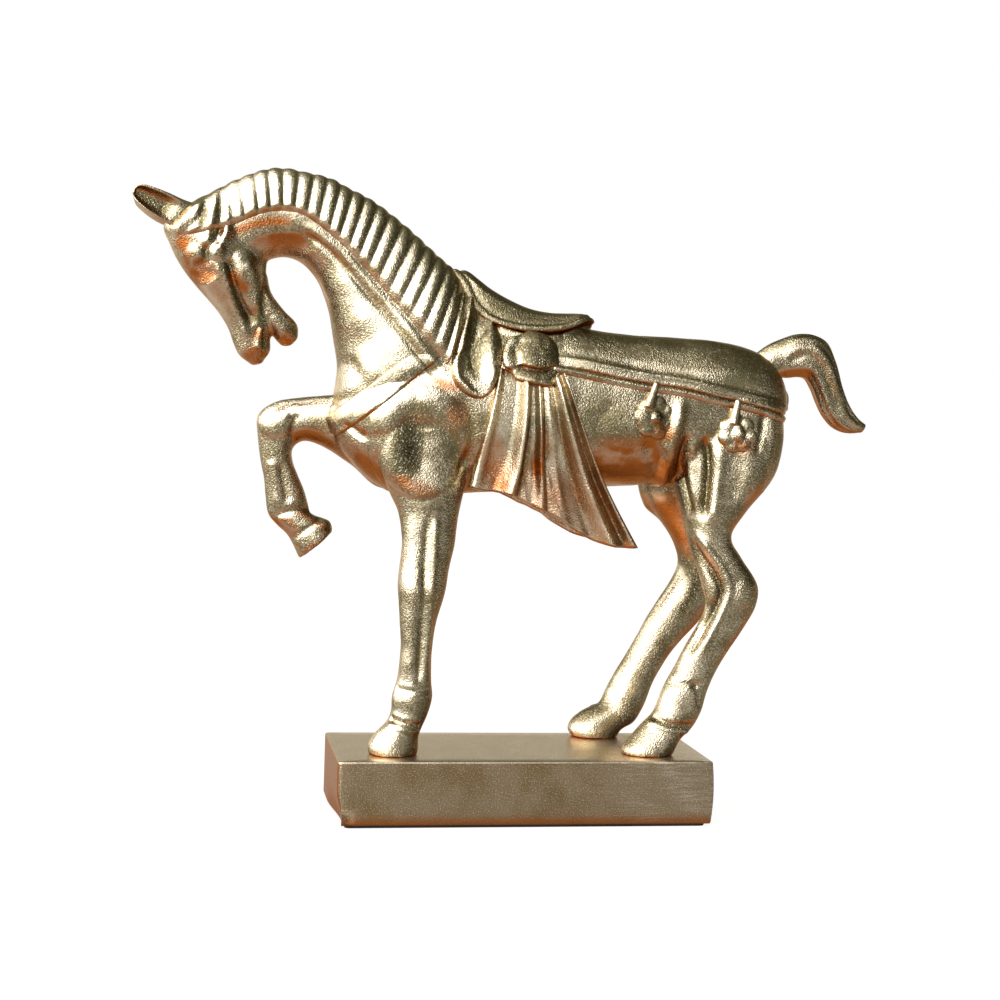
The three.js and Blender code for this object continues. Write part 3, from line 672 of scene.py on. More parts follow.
@dataclass(frozen=True)
class Mark:
    """A place where the skin is worked up or down, as seen from the side."""

    height: float
    side: Side = Side.BOTH

    def shape(self, view: Array) -> Array:
        """Share of the height at each point of the side view."""
        raise NotImplementedError

    def lift(self, points: Array, normals: Array) -> Array:
        """How far each point moves out along its normal, in millimetres.

        Args:
            points: the points of the skin.
            normals: their unit normals.

        Returns:
            The distances.
        """
        if self.side is Side.BOTH:
            sign = np.sign(points[:, 1])
        else:
            sign = np.full(len(points), float(self.side.value))
        on_side = np.where(sign * points[:, 1] > 0, 1.0, 0.0)
        facing = smooth(sign * normals[:, 1], 0.05, 0.45)
        return self.height * on_side * facing * self.shape(points[:, [0, 2]])


@dataclass(frozen=True)
class Crease(Mark):
    """A rounded ridge, or with a negative height a groove, along a line."""

    line: Line2D = ()
    width: float = 1.0
    fade: float = 0.15

    def shape(self, view: Array) -> Array:
        """A bell across the line that fades out at both of its ends."""
        result = np.zeros(len(view))
        corners = np.asarray(self.line, float)
        low, high = corners.min(axis=0) - 3 * self.width, corners.max(axis=0) + 3 * self.width
        near = ((view > low) & (view < high)).all(axis=1)
        fine = through(corners, 6 * len(corners)) if len(corners) > 2 else corners
        distance, share, _ = along_line(view[near], fine)
        ends = smooth(np.minimum(share, 1 - share), -0.02, self.fade)
        result[near] = bell(distance, 0.0, self.width) * ends
        return result


@dataclass(frozen=True)
class Dome(Mark):
    """An oval swelling, or with a negative height a hollow. A lower power gives it a crisper edge."""

    centre: tuple[float, float] = (0.0, 0.0)
    radii: tuple[float, float] = (1.0, 1.0)
    tilt: float = 0.0
    power: float = 1.5

    def shape(self, view: Array) -> Array:
        """The share left of an oval that closes at its rim."""
        angle = math.radians(self.tilt)
        offset = view - self.centre
        run = offset @ (math.cos(angle), math.sin(angle)) / self.radii[0]
        rise = offset @ (-math.sin(angle), math.cos(angle)) / self.radii[1]
        return np.clip(1 - run**2 - rise**2, 0, 1) ** self.power


@dataclass(frozen=True)
class Scoop(Mark):
    """A slope that falls towards the tail and eases back beyond its deepest line."""

    centre: tuple[float, float] = (0.0, 0.0)
    fall: float = 10.0
    recover: float = 20.0
    half_height: float = 10.0
    lean: float = 0.0

    def shape(self, view: Array) -> Array:
        """Steep on the left of the deepest line and gentle on its right."""
        rise = view[:, 1] - self.centre[1]
        run = view[:, 0] - self.centre[0] - self.lean * rise
        left = smooth(run, -self.fall, 0.0)
        right = smooth(run, self.recover, 0.0)
        return np.where(run < 0, left, right) * smooth(np.abs(rise) / self.half_height, 1.0, 0.15)


HEAD_MARKS = (
    Crease(1.6, line=((-121, 203), (-126.5, 198), (-132, 192.5), (-135.2, 188.5)), width=2.3, fade=0.2),
    Crease(-1.5, line=((-122, 203), (-123.5, 197), (-125.2, 190.5)), width=1.2),
    Crease(1.6, line=((-119.5, 200), (-121, 193.5), (-122, 188), (-122.9, 184.5)), width=1.7),
    Crease(-1.2, line=((-118.2, 198.5), (-117.3, 194), (-118.5, 189)), width=1.0),
    Crease(1.2, line=((-116.4, 197), (-115, 192), (-116.5, 187), (-118.2, 183.5)), width=1.5),
    Dome(1.5, centre=(-126.6, 182.3), radii=(3.6, 4.0), power=0.8),
    Dome(1.5, centre=(-118.6, 183.3), radii=(3.0, 3.6), power=0.8),
    Crease(-1.0, line=((-122.4, 186), (-122.5, 180.5)), width=0.9),
    Dome(-1.7, centre=(-122.4, 176.6), radii=(4.6, 5.0), tilt=0, power=0.9),
    Crease(0.9, line=((-121.5, 179), (-119, 178.6), (-117.6, 175.5)), width=0.9),
    Crease(
        1.0,
        line=((-116.8, 180.5), (-114.8, 175.3), (-112, 167), (-108.9, 159.8), (-106.4, 151)),
        width=1.5,
    ),
    Crease(-1.9, line=((-114.8, 182), (-110.6, 168), (-106.8, 161.5), (-103.8, 157.6)), width=1.8),
    Dome(1.3, centre=(-108.0, 177.5), radii=(5.5, 8.0), tilt=10, power=1.1),
    Crease(0.8, line=((-108.5, 181), (-105.1, 175), (-103.9, 169), (-103.2, 162)), width=1.8),
    Crease(-0.8, line=((-100.8, 184), (-100.4, 176), (-101, 167), (-100.5, 161)), width=1.3),
    Crease(-1.2, line=((-100.2, 156), (-99.7, 151.5), (-100.2, 145.5)), width=1.0, fade=0.08),
    Crease(1.0, line=((-101.4, 157), (-102.2, 153), (-103.2, 148.3)), width=0.9),
    Crease(0.6, line=((-98.5, 160.5), (-95, 157.5), (-91.5, 154)), width=2.0),
)
EYEBALL = Dome(0.7, centre=(-121.0, 177.6), radii=(1.8, 1.4), tilt=-32, power=0.8)

NECK_MARKS = (
    Crease(
        0.7,
        line=(
            (-88, 195.2), (-80, 190.8), (-73, 185.2), (-66, 178), (-60, 171.2), (-54, 164.8), (-48, 157.8),
            (-43, 151.2), (-38, 145.5), (-33.5, 141.5),
        ),
        width=1.4,
        fade=0.1,
    ),
    Crease(
        -0.8,
        line=(
            (-90, 193), (-81, 188), (-74.8, 182.6), (-68, 175.6), (-62, 168.8), (-56, 162.4), (-50, 155.2),
            (-45, 148.8), (-40.5, 143.4), (-36, 139.5),
        ),
        width=1.0,
        fade=0.1,
    ),
    Dome(-1.4, centre=(-94, 187), radii=(13, 4.6), tilt=4, power=1.2),
    Crease(1.2, line=((-79, 180), (-70, 166), (-64, 152)), width=6.5, fade=0.3),
    Crease(-0.8, line=((-72, 148), (-66, 140), (-62, 133)), width=3.0, fade=0.3),
)

CHEST_MARKS = (
    Dome(2.6, centre=(-43.0, 116.5), radii=(19.0, 21.0), power=0.6),
    Scoop(-4.0, centre=(-43.0, 114.0), fall=12.0, recover=30.0, half_height=21.0, lean=-0.16),
    Crease(-1.3, line=((-70, 123.5), (-68, 121), (-65, 118.6), (-61.5, 116.5)), width=1.4, fade=0.3),
    Dome(1.6, centre=(-56, 128), radii=(13, 8), tilt=42, power=1.1),
    Crease(-1.0, line=((-29, 137), (-24.5, 125), (-25, 112), (-30, 102)), width=1.8, fade=0.25),
)

SKIRT_MARKS = (
    Crease(
        1.5,
        line=((-17.5, 161.6), (-10, 158.2), (0, 156.3), (9, 156.8), (17, 159.6), (23, 163.5)),
        width=1.2,
    ),
    Crease(-0.7, line=((-17, 164), (-9, 160.6), (0, 158.9), (8.5, 159.2), (16, 161.6)), width=1.0),
)

THIGH_MARKS = (
    Crease(2.5, Side.BOTH, ((56, 137), (53.8, 127), (52, 116), (52.5, 105), (56, 94), (60.5, 85)), 2.6, 0.2),
    Crease(-2.3, Side.BOTH, ((58.5, 124), (57, 112), (59, 101), (62, 90)), 1.5, 0.2),
    Crease(0.9, Side.BOTH, ((61.5, 121), (61, 108), (62.8, 95)), 1.6, 0.2),
    Crease(-2.1, Side.BOTH, ((65, 122.5), (66.5, 111), (66, 98), (65.5, 90)), 1.5, 0.2),
    Crease(1.3, Side.BOTH, ((71, 121), (70.5, 108), (69.5, 96), (69.5, 87)), 2.2, 0.2),
    Crease(-0.7, Side.BOTH, ((77.5, 118), (78, 106), (76, 95)), 2.4, 0.3),
    Dome(1.6, centre=(84, 110), radii=(9, 13), tilt=-12, power=1.2),
    Crease(1.0, Side.BOTH, ((91.5, 134), (91.5, 121), (88.5, 109)), 2.2, 0.25),
    Crease(-0.9, Side.BOTH, ((88, 133), (86.5, 122), (83.5, 114)), 1.4, 0.25),
    Crease(-1.0, Side.BOTH, ((41, 121), (46, 113), (52, 104)), 3.0, 0.3),
    Dome(1.2, centre=(36, 124), radii=(13, 10), tilt=0, power=1.2),
)

HIND_LEG_MARKS = (
    Crease(
        -1.6,
        Side.NEAR,
        ((59.5, 86), (65, 77), (70.5, 69.5), (73.2, 63), (71.5, 56.5), (67, 47.5), (62.5, 38)),
        width=1.2,
        fade=0.1,
    ),
    Crease(
        0.9,
        Side.NEAR,
        ((62.5, 87), (68, 79), (74, 71), (76.5, 64), (74.5, 56), (70, 46.5), (66, 38)),
        width=1.3,
        fade=0.15,
    ),
    Crease(0.7, Side.NEAR, ((64, 74), (69, 65), (68.5, 56), (63, 45), (57.5, 33)), 1.9, 0.2),
    Dome(1.0, Side.NEAR, (82.5, 62.5), (5.2, 7), -30, 1.2),
    Crease(-0.8, Side.NEAR, ((63, 30), (66, 24), (66.5, 18)), 1.1, 0.2),
    Crease(-0.8, Side.NEAR, ((48.5, 14.8), (57, 12.2), (65, 11.6)), 1.0, 0.1),
    Crease(0.5, Side.NEAR, ((47.5, 12.8), (56, 10), (64, 9.2)), 1.0, 0.1),
    Crease(-0.5, Side.NEAR, ((55, 28), (63, 27.5), (70, 28)), 1.2, 0.2),
    Crease(-0.9, Side.FAR, ((70, 75), (75, 66), (72, 54), (64, 41), (56, 29)), 1.3, 0.15),
    Crease(-0.8, Side.FAR, ((36, 14.6), (45, 11), (53, 9)), 1.0, 0.1),
    Crease(0.5, Side.FAR, ((34, 12.4), (43, 8.8), (51, 6.6)), 1.0, 0.1),
)

FORELEG_MARKS = (
    Crease(-1.0, Side.NEAR, ((-39.5, 90), (-40.5, 73), (-40.5, 58), (-41, 40), (-41.5, 26)), 1.2, 0.1),
    Crease(0.7, Side.NEAR, ((-36.5, 92), (-36.8, 74), (-37.5, 56), (-38.3, 40), (-38.3, 26)), 1.1, 0.15),
    Crease(0.7, Side.NEAR, ((-45.5, 92), (-44.8, 75), (-45, 58), (-45, 40), (-46, 26)), 2.0, 0.15),
    Dome(0.7, Side.NEAR, (-42.5, 63), (6.5, 7), 0, 1.2),
    Crease(-0.9, Side.NEAR, ((-51.5, 14), (-46, 12.6), (-39.5, 11.2)), 1.0, 0.08),
    Crease(0.5, Side.NEAR, ((-52, 11.6), (-46, 10.2), (-39.8, 9)), 1.0, 0.1),
    Crease(-0.6, Side.NEAR, ((-49.5, 25.2), (-43, 24.4), (-36.5, 25)), 1.1, 0.1),
)


@dataclass(frozen=True)
class FacingMark(Mark):
    """A mark of the raised foreleg, whose middle plane lies off the horse's own."""

    mark: Optional[Mark] = None
    middle: float = 17.0

    def lift(self, points: Array, normals: Array) -> Array:
        """The inner mark on both sides of the leg's own middle plane."""
        near_leg = smooth(np.abs(points[:, 1] - self.middle), 11.5, 9.5) * (points[:, 0] < -74)
        facing = smooth(np.abs(normals[:, 1]), 0.05, 0.45)
        return self.mark.height * near_leg * facing * self.mark.shape(points[:, [0, 2]])


RAISED_LEG_MARKS = tuple(
    FacingMark(0, mark=mark)
    for mark in (
        Dome(1.2, centre=(-94.5, 121.5), radii=(6.5, 7), power=1.1),
        Crease(-0.8, line=((-86.5, 126), (-88, 119), (-87.5, 113)), width=1.4, fade=0.2),
        Crease(-0.8, line=((-92, 106), (-90.5, 98), (-88.5, 91)), width=1.2, fade=0.15),
        Crease(0.8, line=((-95.5, 108), (-94, 98), (-92.5, 89)), width=1.8, fade=0.15),
        Crease(-0.9, line=((-93.5, 86), (-86.5, 88.3), (-80, 88.8)), width=1.4, fade=0.1),
        Crease(-0.6, line=((-88.6, 75.8), (-82.5, 80.5), (-75.5, 85.3)), width=1.2, fade=0.08),
    )
)
SKIN_MARKS = (
    *HEAD_MARKS,
    *NECK_MARKS,
    *CHEST_MARKS,
    *SKIRT_MARKS,
    *THIGH_MARKS,
    *HIND_LEG_MARKS,
    *FORELEG_MARKS,
    *RAISED_LEG_MARKS,
)


# the sculpted skin


@dataclass(frozen=True)
class CutPlane:
    """A plane that is seen edge on in the side view and divides two castings."""

    at: tuple[float, float]
    slope: float

    def height(self, points: Array) -> Array:
        """Distance of points in front of the plane, on the side of the head."""
        angle = math.radians(self.slope)
        return (points[:, 0] - self.at[0]) * -math.sin(angle) + (points[:, 2] - self.at[1]) * math.cos(angle)

    def onto(self, points: Array) -> Array:
        """The points moved straight onto the plane."""
        angle = math.radians(self.slope)
        normal = np.array([-math.sin(angle), 0.0, math.cos(angle)])
        return points - self.height(points)[:, None] * normal


class Cast(IntEnum):
    """The castings that the skin is divided into, named like their nodes."""

    TORSO = 0
    NECK = 1
    HEAD = 2
    NEAR_FORELEG = 3
    RAISED_FORELEG = 4
    NEAR_HIND_LEG = 5
    FAR_HIND_LEG = 6


@dataclass
class Casting:
    """The horse's body, sculpted as one skin and then divided into its castings."""

    voxel: float = 0.6
    quick_voxel: float = 1.1
    fillet_rounds: int = 70
    waves: tuple[tuple[float, float], ...] = ((0.16, 7.0), (0.025, 2.2))
    foreleg_cut: float = 97.0
    hind_leg_cut: float = 101.0
    raised_leg_cut: float = -63.0
    strap_plane: CutPlane = CutPlane((-57.0, 140.8), 40.3)
    throat_plane: CutPlane = CutPlane((-99.5, 181.0), 112.5)
    chin_back: float = -85.5
    chin_top: float = 177.0
    cut_reach: float = 1.0
    skin: Surface = field(init=False)
    normals: Array = field(init=False)
    search: BVHTree = field(init=False)

    def build(self) -> None:
        """Fuses the lofts, rounds their junctions and works the marks into the skin."""
        legs = (NEAR_FORELEG, RAISED_FORELEG, NEAR_HIND_LEG, FAR_HIND_LEG)
        lofts = (TORSO, NECK, HEAD, JAW, *legs)
        size = self.voxel
        whole = fused(Surface.joined(loft.surface() for loft in lofts), size)
        whole = relaxed(whole, 4, 0.6)
        whole = self._filleted(whole, size)
        normals = whole.normals()
        lift = sum(mark.lift(whole.points, normals) for mark in SKIN_MARKS)
        whole = whole.moved(whole.points + normals * lift[:, None])
        whole = relaxed(whole, 1, 0.4)
        normals = whole.normals()
        lift = EYEBALL.lift(whole.points, normals)
        waves = CastingNoise(seed=7)
        for height, wavelength in self.waves:
            lift = lift + height * waves.at(whole.points, wavelength)
        points = whole.points + normals * lift[:, None]
        points[:, 2] = np.maximum(points[:, 2], 0.0)
        self.skin = whole.moved(points)
        self.normals = self.skin.normals()
        self.search = self.skin.tree()
        log.info("skin: %d points", len(points))

    def _filleted(self, whole: Surface, size: float) -> Surface:
        """Rounds the hollow junctions between the lofts and leaves all the rest."""
        edges = whole.edges()
        points = whole.points.copy()
        rounds = int(self.fillet_rounds * (self.voxel / size) ** 2)
        for turn in range(rounds):
            if turn % 8 == 0:
                normals = whole.moved(points).normals()
            pull = average(points, edges) - points
            hollow = (pull * normals).sum(axis=1) / size
            weight = smooth(hollow, 0.02, 0.09)
            points += 0.6 * weight[:, None] * pull
        return whole.moved(points)

    def flank(self, x: float, z: float, side: int) -> tuple[float, Vector]:
        """Where a straight line from the side meets the skin.

        Args:
            x: place along the horse.
            z: height above the soles.
            side: -1 for the near side, 1 for the far side.

        Returns:
            The distance off the middle plane, 0 where nothing is met, and the normal there.
        """
        place, normal, _, _ = self.search.ray_cast(Vector((x, side * 100.0, z)), Vector((0.0, -side, 0.0)))
        if place is None or place.y * side < 0:
            return 0.0, Vector((0.0, side, 0.0))
        return abs(place.y), normal

    def tangent(self, x: float, z: float, side: int, reach: float) -> tuple[float, float, float]:
        """The plane that touches the flank at a place.

        Args:
            x: place along the horse.
            z: height above the soles.
            side: -1 for the near side, 1 for the far side.
            reach: how far from the place its slopes are taken.

        Returns:
            The distance off the middle plane, and how it grows with x and with z.
        """
        out = self.flank(x, z, side)[0]
        before, after = (self.flank(x + step, z, side)[0] for step in (-reach, reach))
        below, above = (self.flank(x, z + step, side)[0] for step in (-reach, reach))
        return out, (after - before) / (2 * reach), (above - below) / (2 * reach)

    def castings(self) -> dict[str, Surface]:
        """Divides the skin at its cuts.

        Returns:
            The closed surface of each casting, by the name of its node.
        """
        points = self.skin.points.copy()
        faces = self.skin.faces
        owner = self._owners(points[faces].mean(axis=1))
        held = {cast: np.zeros(len(points), bool) for cast in Cast}
        for cast, mine in held.items():
            mine[faces[owner == cast].ravel()] = True
        levels = (
            (Cast.NEAR_FORELEG, self.foreleg_cut),
            (Cast.NEAR_HIND_LEG, self.hind_leg_cut),
            (Cast.FAR_HIND_LEG, self.hind_leg_cut),
        )
        for leg, level in levels:
            shared = held[Cast.TORSO] & held[leg] & (np.abs(points[:, 2] - level) < self.cut_reach)
            points[shared, 2] = level
        planes = ((Cast.TORSO, self.strap_plane), (Cast.HEAD, self.throat_plane))
        for other, plane in planes:
            shared = held[Cast.NECK] & held[other] & (np.abs(plane.height(points)) < self.cut_reach)
            points[shared] = plane.onto(points[shared])
        self.skin = self.skin.moved(points)
        return {cast.name.lower(): cut_out(self.skin, self.normals, owner == cast) for cast in Cast}

    def _owners(self, centres: Array) -> Array:
        """The number of the casting that each face belongs to."""
        x, y, z = centres.T
        owner = np.full(len(centres), Cast.TORSO)
        chin = (x < self.chin_back) & (z < self.chin_top) & (z > 140)
        ahead = self.strap_plane.height(centres) > 0
        past_throat = self.throat_plane.height(centres) > 0
        owner[ahead] = Cast.NECK
        owner[ahead & past_throat & (z > 140) | chin] = Cast.HEAD
        owner[(x > -62) & (x < -18) & (y < -1) & (z < self.foreleg_cut)] = Cast.NEAR_FORELEG
        behind = (x > 20) & (z < self.hind_leg_cut)
        owner[behind & (y < -0.5) & ((x > 50) | (z < 60))] = Cast.NEAR_HIND_LEG
        owner[behind & (y >= -0.5) & ((x > 46) | (z < 60))] = Cast.FAR_HIND_LEG
        raised = np.flatnonzero((x < self.raised_leg_cut) & (z < 140) & (y > -2))
        leg = RAISED_FORELEG.surface().tree()
        trunk = Surface.joined([TORSO.surface(), NECK.surface()]).tree()
        for number in raised:
            centre = Vector(centres[number])
            if leg.find_nearest(centre)[3] < trunk.find_nearest(centre)[3]:
                owner[number] = Cast.RAISED_FORELEG
        return owner


def fused(surface: Surface, size: float) -> Surface:
    """Melts overlapping closed surfaces into one.

    Args:
        surface: the surfaces together.
        size: edge length of the new faces in millimetres.

    Returns:
        One closed surface of even square faces.
    """
    mesh = bpy.data.meshes.new("melt")
    mesh.from_pydata(surface.points.tolist(), [], surface.polygons())
    item = bpy.data.objects.new("melt", mesh)
    bpy.context.scene.collection.objects.link(item)
    remesh = item.modifiers.new("melt", "REMESH")
    remesh.mode = "VOXEL"
    remesh.voxel_size = size
    remesh.adaptivity = 0.0
    solid = item.evaluated_get(bpy.context.evaluated_depsgraph_get()).to_mesh()
    points = np.empty(len(solid.vertices) * 3)
    solid.vertices.foreach_get("co", points)
    corners = [tuple(face.vertices) for face in solid.polygons]
    faces = np.array([(*corner, corner[-1])[:4] for corner in corners])
    item.to_mesh_clear()
    bpy.data.objects.remove(item)
    bpy.data.meshes.remove(mesh)
    return Surface(points.reshape(-1, 3), faces)


def cut_out(skin: Surface, normals: Array, chosen: Array) -> Surface:
    """A part of a closed skin, closed again where it was cut.

    Args:
        skin: the whole skin.
        normals: the normals of its points.
        chosen: which faces the part keeps.

    Returns:
        The part, with the whole skin's shading.
    """
    faces = skin.faces[chosen]
    used, renamed = np.unique(faces, return_inverse=True)
    faces = renamed.reshape(faces.shape)
    points = skin.points[used]
    shading = normals[used]
    part = Surface(points, faces, shading)
    following: dict[int, list[int]] = {}
    for start, end in part.open_sides().tolist():
        following.setdefault(start, []).append(end)
    caps: list[tuple[int, int, int, int]] = []
    hubs: list[Array] = []
    while following:
        start = next(iter(following))
        loop = [start]
        while True:
            ends = following[loop[-1]]
            step = ends.pop()
            if not ends:
                del following[loop[-1]]
            if step == start or step not in following:
                break
            loop.append(step)
        hub = len(points) + len(hubs)
        hubs.append(points[loop].mean(axis=0))
        caps.extend((loop[(k + 1) % len(loop)], loop[k], hub, hub) for k in range(len(loop)))
    if not hubs:
        return part
    flat = np.zeros((len(hubs), 3))
    return Surface(np.vstack([points, hubs]), np.vstack([faces, caps]), np.vstack([shading, flat]))


def overlay(
    casting: Casting,
    inside: Callable[[Array], Array],
    height: Callable[[Array, Array], Array],
    side: Side = Side.BOTH,
    sunk: float = 1.0,
    splits: int = 0,
) -> Surface:
    """A layer of cast relief that follows the skin.

    Args:
        casting: the sculpted body.
        inside: gives the distance of points of the skin into the layer's outline.
        height: gives the relief from the points and that distance.
        side: the flank that the layer lies on.
        sunk: depth of the layer's hidden underside below the skin.
        splits: how many times its faces are halved for finer relief.

    Returns:
        A closed surface whose edge runs under the skin.
    """
    points, faces = casting.skin.points, casting.skin.faces
    reach = inside(points)
    keep = reach > -1.6
    if side is not Side.BOTH:
        keep &= points[:, 1] * side.value > 0
        keep &= casting.normals[:, 1] * side.value > -0.2
    chosen = keep[faces].all(axis=1)
    used, renamed = np.unique(faces[chosen], return_inverse=True)
    patch = Surface(points[used], renamed.reshape(-1, 4))
    normals = casting.normals[used]
    for _ in range(splits):
        patch, normals = halved(patch, normals)
    reach = inside(patch.points)
    lift = height(patch.points, reach)
    front = patch.points + normals * lift[:, None]
    back = patch.points - normals * sunk
    count = len(front)
    start, end = patch.open_sides().T
    rim = np.stack([end, start, start + count, end + count], axis=1)
    return Surface(np.vstack([front, back]), np.vstack([patch.faces, patch.faces[:, ::-1] + count, rim]))


def halved(patch: Surface, normals: Array) -> tuple[Surface, Array]:
    """Splits each square face into four.

    Args:
        patch: the surface to refine.
        normals: the normals of its points.

    Returns:
        The finer surface and its normals.
    """
    count = len(patch.points)
    unique, number = np.unique(np.sort(patch.sides(), axis=1), axis=0, return_inverse=True)
    number = number.reshape(4, -1).T + count
    middles = patch.points[unique].mean(axis=1)
    centres = patch.points[patch.faces].mean(axis=1)
    hub = np.arange(len(patch.faces)) + count + len(unique)
    corner = patch.faces
    quarters = [np.stack([corner[:, k], number[:, k], hub, number[:, k - 1]], axis=1) for k in range(4)]
    directions = np.vstack([normals, normals[unique].mean(axis=1), normals[patch.faces].mean(axis=1)])
    directions /= np.linalg.norm(directions, axis=1, keepdims=True)
    points = np.vstack([patch.points, middles, centres])
    return Surface(points, np.vstack(quarters)), directions


# hair, ears and tail


@dataclass
class Mane:
    """The ribbed crest of hair, from the forelock to the withers."""

    casting: Casting
    relief: float = 2.0
    rib_depth: float = 1.15
    per_rib: int = 9
    arc_steps: int = 56
    ribs: tuple[tuple[float, float, float, float], ...] = (
        (-131.3, 199.8, -134.3, 187.6),
        (-125.4, 203.6, -128.0, 188.6),
        (-118.6, 207.4, -119.8, 190.6),
        (-113.5, 210.4, -111.0, 193.5),
        (-108.0, 213.0, -105.6, 196.0),
        (-103.0, 215.0, -101.3, 197.6),
        (-98.0, 216.2, -96.9, 198.4),
        (-92.0, 216.2, -92.8, 198.5),
        (-86.0, 215.2, -88.6, 197.8),
        (-80.7, 214.4, -84.4, 195.6),
        (-75.6, 213.0, -80.2, 192.6),
        (-70.9, 210.6, -76.6, 189.8),
        (-66.2, 208.6, -73.0, 186.8),
        (-61.6, 206.4, -69.4, 183.4),
        (-56.8, 203.4, -66.0, 179.8),
        (-52.0, 200.0, -62.4, 176.0),
        (-47.2, 196.4, -58.6, 171.8),
        (-42.6, 192.6, -54.6, 167.4),
        (-38.2, 188.8, -50.6, 163.0),
        (-34.2, 185.4, -46.4, 158.2),
        (-30.4, 182.4, -42.2, 152.8),
        (-27.5, 178.0, -37.8, 148.0),
        (-26.0, 172.0, -33.5, 143.6),
    )

    def surface(self) -> Surface:
        """The arch of ribs, from its near lower edge over the crest to the far one."""
        lines = np.array(self.ribs)
        count = (len(lines) - 1) * self.per_rib + 1
        fine = through(lines, count)
        turn = np.arange(count) / self.per_rib
        bulge = np.abs(np.cos(math.pi * turn)) ** 0.8
        bulge = np.maximum(bulge, 0.75 * smooth(turn, 1.2, 0.8))
        angles = np.linspace(0, math.pi, self.arc_steps + 1)
        rings = []
        stands = 0.55 + 0.45 * smooth(turn, 0.0, 3.0)
        for (x1, z1, x2, z2), swell, stand in zip(fine.tolist(), bulge.tolist(), stands.tolist()):
            top, foot = np.array([x1, z1]), np.array([x2, z2])
            up = top - foot
            rise = np.linalg.norm(up)
            up /= rise
            widths = {side: self.casting.flank(x2, z2, side)[0] for side in (-1, 1)}
            ring = []
            for angle in angles.tolist():
                side = -1 if angle < math.pi / 2 else 1
                lean = math.sin(angle)
                from_foot = min(angle, math.pi - angle)
                edge = float(smooth(from_foot, 0.0, 0.16))
                depth = self.rib_depth * (1 - swell) * (0.25 + 0.75 * edge)
                place = foot + up * ((rise - 0.45 * depth * lean) * lean)
                width = (widths[side] + self.relief * stand) * abs(math.cos(angle)) ** 0.9
                skin = self.casting.flank(float(place[0]), float(place[1]), side)[0]
                out = max(width, skin + (0.75 + 0.5 * edge) * stand) if skin > 0 else width
                out -= depth * abs(math.cos(angle)) ** 0.5
                out = out * edge + (1 - edge) * (skin - 0.5)
                ring.append((place[0], side * max(out, 0.0), place[1]))
            start, end = np.array(ring[0]), np.array(ring[-1])
            ring.insert(0, tuple(start * (1, 0.82, 1)))
            ring.append(tuple(end * (1, 0.82, 1)))
            rings.append(ring)
        return relaxed(Surface.from_rings(np.array(rings)), 1, 0.35)


@dataclass
class Ear:
    """One cupped ear with a raised rim."""

    side: int
    cup_at: tuple[float, ...] = (0.0, 0.45, 0.68, 0.82, 0.93, 1.0)
    cup_height: tuple[float, ...] = (-0.25, -0.12, 0.3, 0.7, 0.6, 0.0)
    rows: tuple[tuple[float, float, float, float, float, float], ...] = (
        (-124.5, 200.5, -130.5, 190.5, 1.2, 5.2),
        (-131, 202.2, -136.5, 193, 2.6, 6.3),
        (-136, 204.2, -141, 195, 3.4, 7.0),
        (-141.5, 206, -145, 197.6, 3.5, 7.4),
        (-146, 206.8, -148.2, 200.6, 2.8, 7.6),
        (-148.6, 205.6, -149, 202.6, 1.5, 7.6),
    )

    def surface(self) -> Surface:
        """The ear as rings whose open side is pressed in between two rims."""
        fine = through(self.rows, 56)
        angles = np.linspace(0, 2 * math.pi, 44, endpoint=False)
        rings = []
        for share, (x1, z1, x2, z2, half, off) in zip(np.linspace(0, 1, 56), fine.tolist()):
            middle = np.array([(x1 + x2) / 2, (z1 + z2) / 2])
            across = np.array([x1 - x2, z1 - z2]) / 2
            hollow = float(smooth(share, 0.04, 0.4) * smooth(share, 1.0, 0.9))
            ring = []
            for angle in angles.tolist():
                run, wide = math.cos(angle), math.sin(angle)
                if wide > 0:
                    cup = float(np.interp(abs(run), self.cup_at, self.cup_height))
                    wide = wide * (1 - hollow) + cup * hollow
                place = middle + across * run
                ring.append((place[0], self.side * (off + half * wide), place[1]))
            rings.append(ring)
        end = np.array(rings[-1])
        hub = end.mean(axis=0) + (-0.8, 0, 0.1)
        rings.append((hub + (end - hub) * 0.55).tolist())
        return relaxed(Surface.from_rings(np.array(rings)), 1, 0.3)


@dataclass
class Tail:
    """The tail, arched out from the rump and drawn to a point."""

    sides: int = 72
    strands: int = 9
    strand_depth: float = 0.22
    marks: tuple[Mark, ...] = (
        Crease(-0.7, line=((102, 151), (110, 155), (116, 151), (121, 142), (126, 133)), width=1.3),
        Crease(0.5, line=((101, 155), (111, 158.5), (118.5, 153), (123.5, 143), (129, 132)), width=1.6),
    )

    def surface(self) -> Surface:
        """The tail's loft, lightly fluted along its strands."""
        plain = TAIL.surface(sides=self.sides, per_span=8)
        normals = plain.normals()
        points = plain.points
        turn = 2 * math.pi * np.arange(len(points)) / self.sides
        flutes = np.cos(turn * self.strands) * smooth(points[:, 0], 100, 110) * smooth(points[:, 0], 137, 130)
        lift = self.strand_depth * flutes + sum(mark.lift(points, normals) for mark in self.marks)
        lift = lift + 0.12 * CastingNoise(seed=11).at(points, 5.0)
        return plain.moved(points + normals * lift[:, None])


# saddle and harness


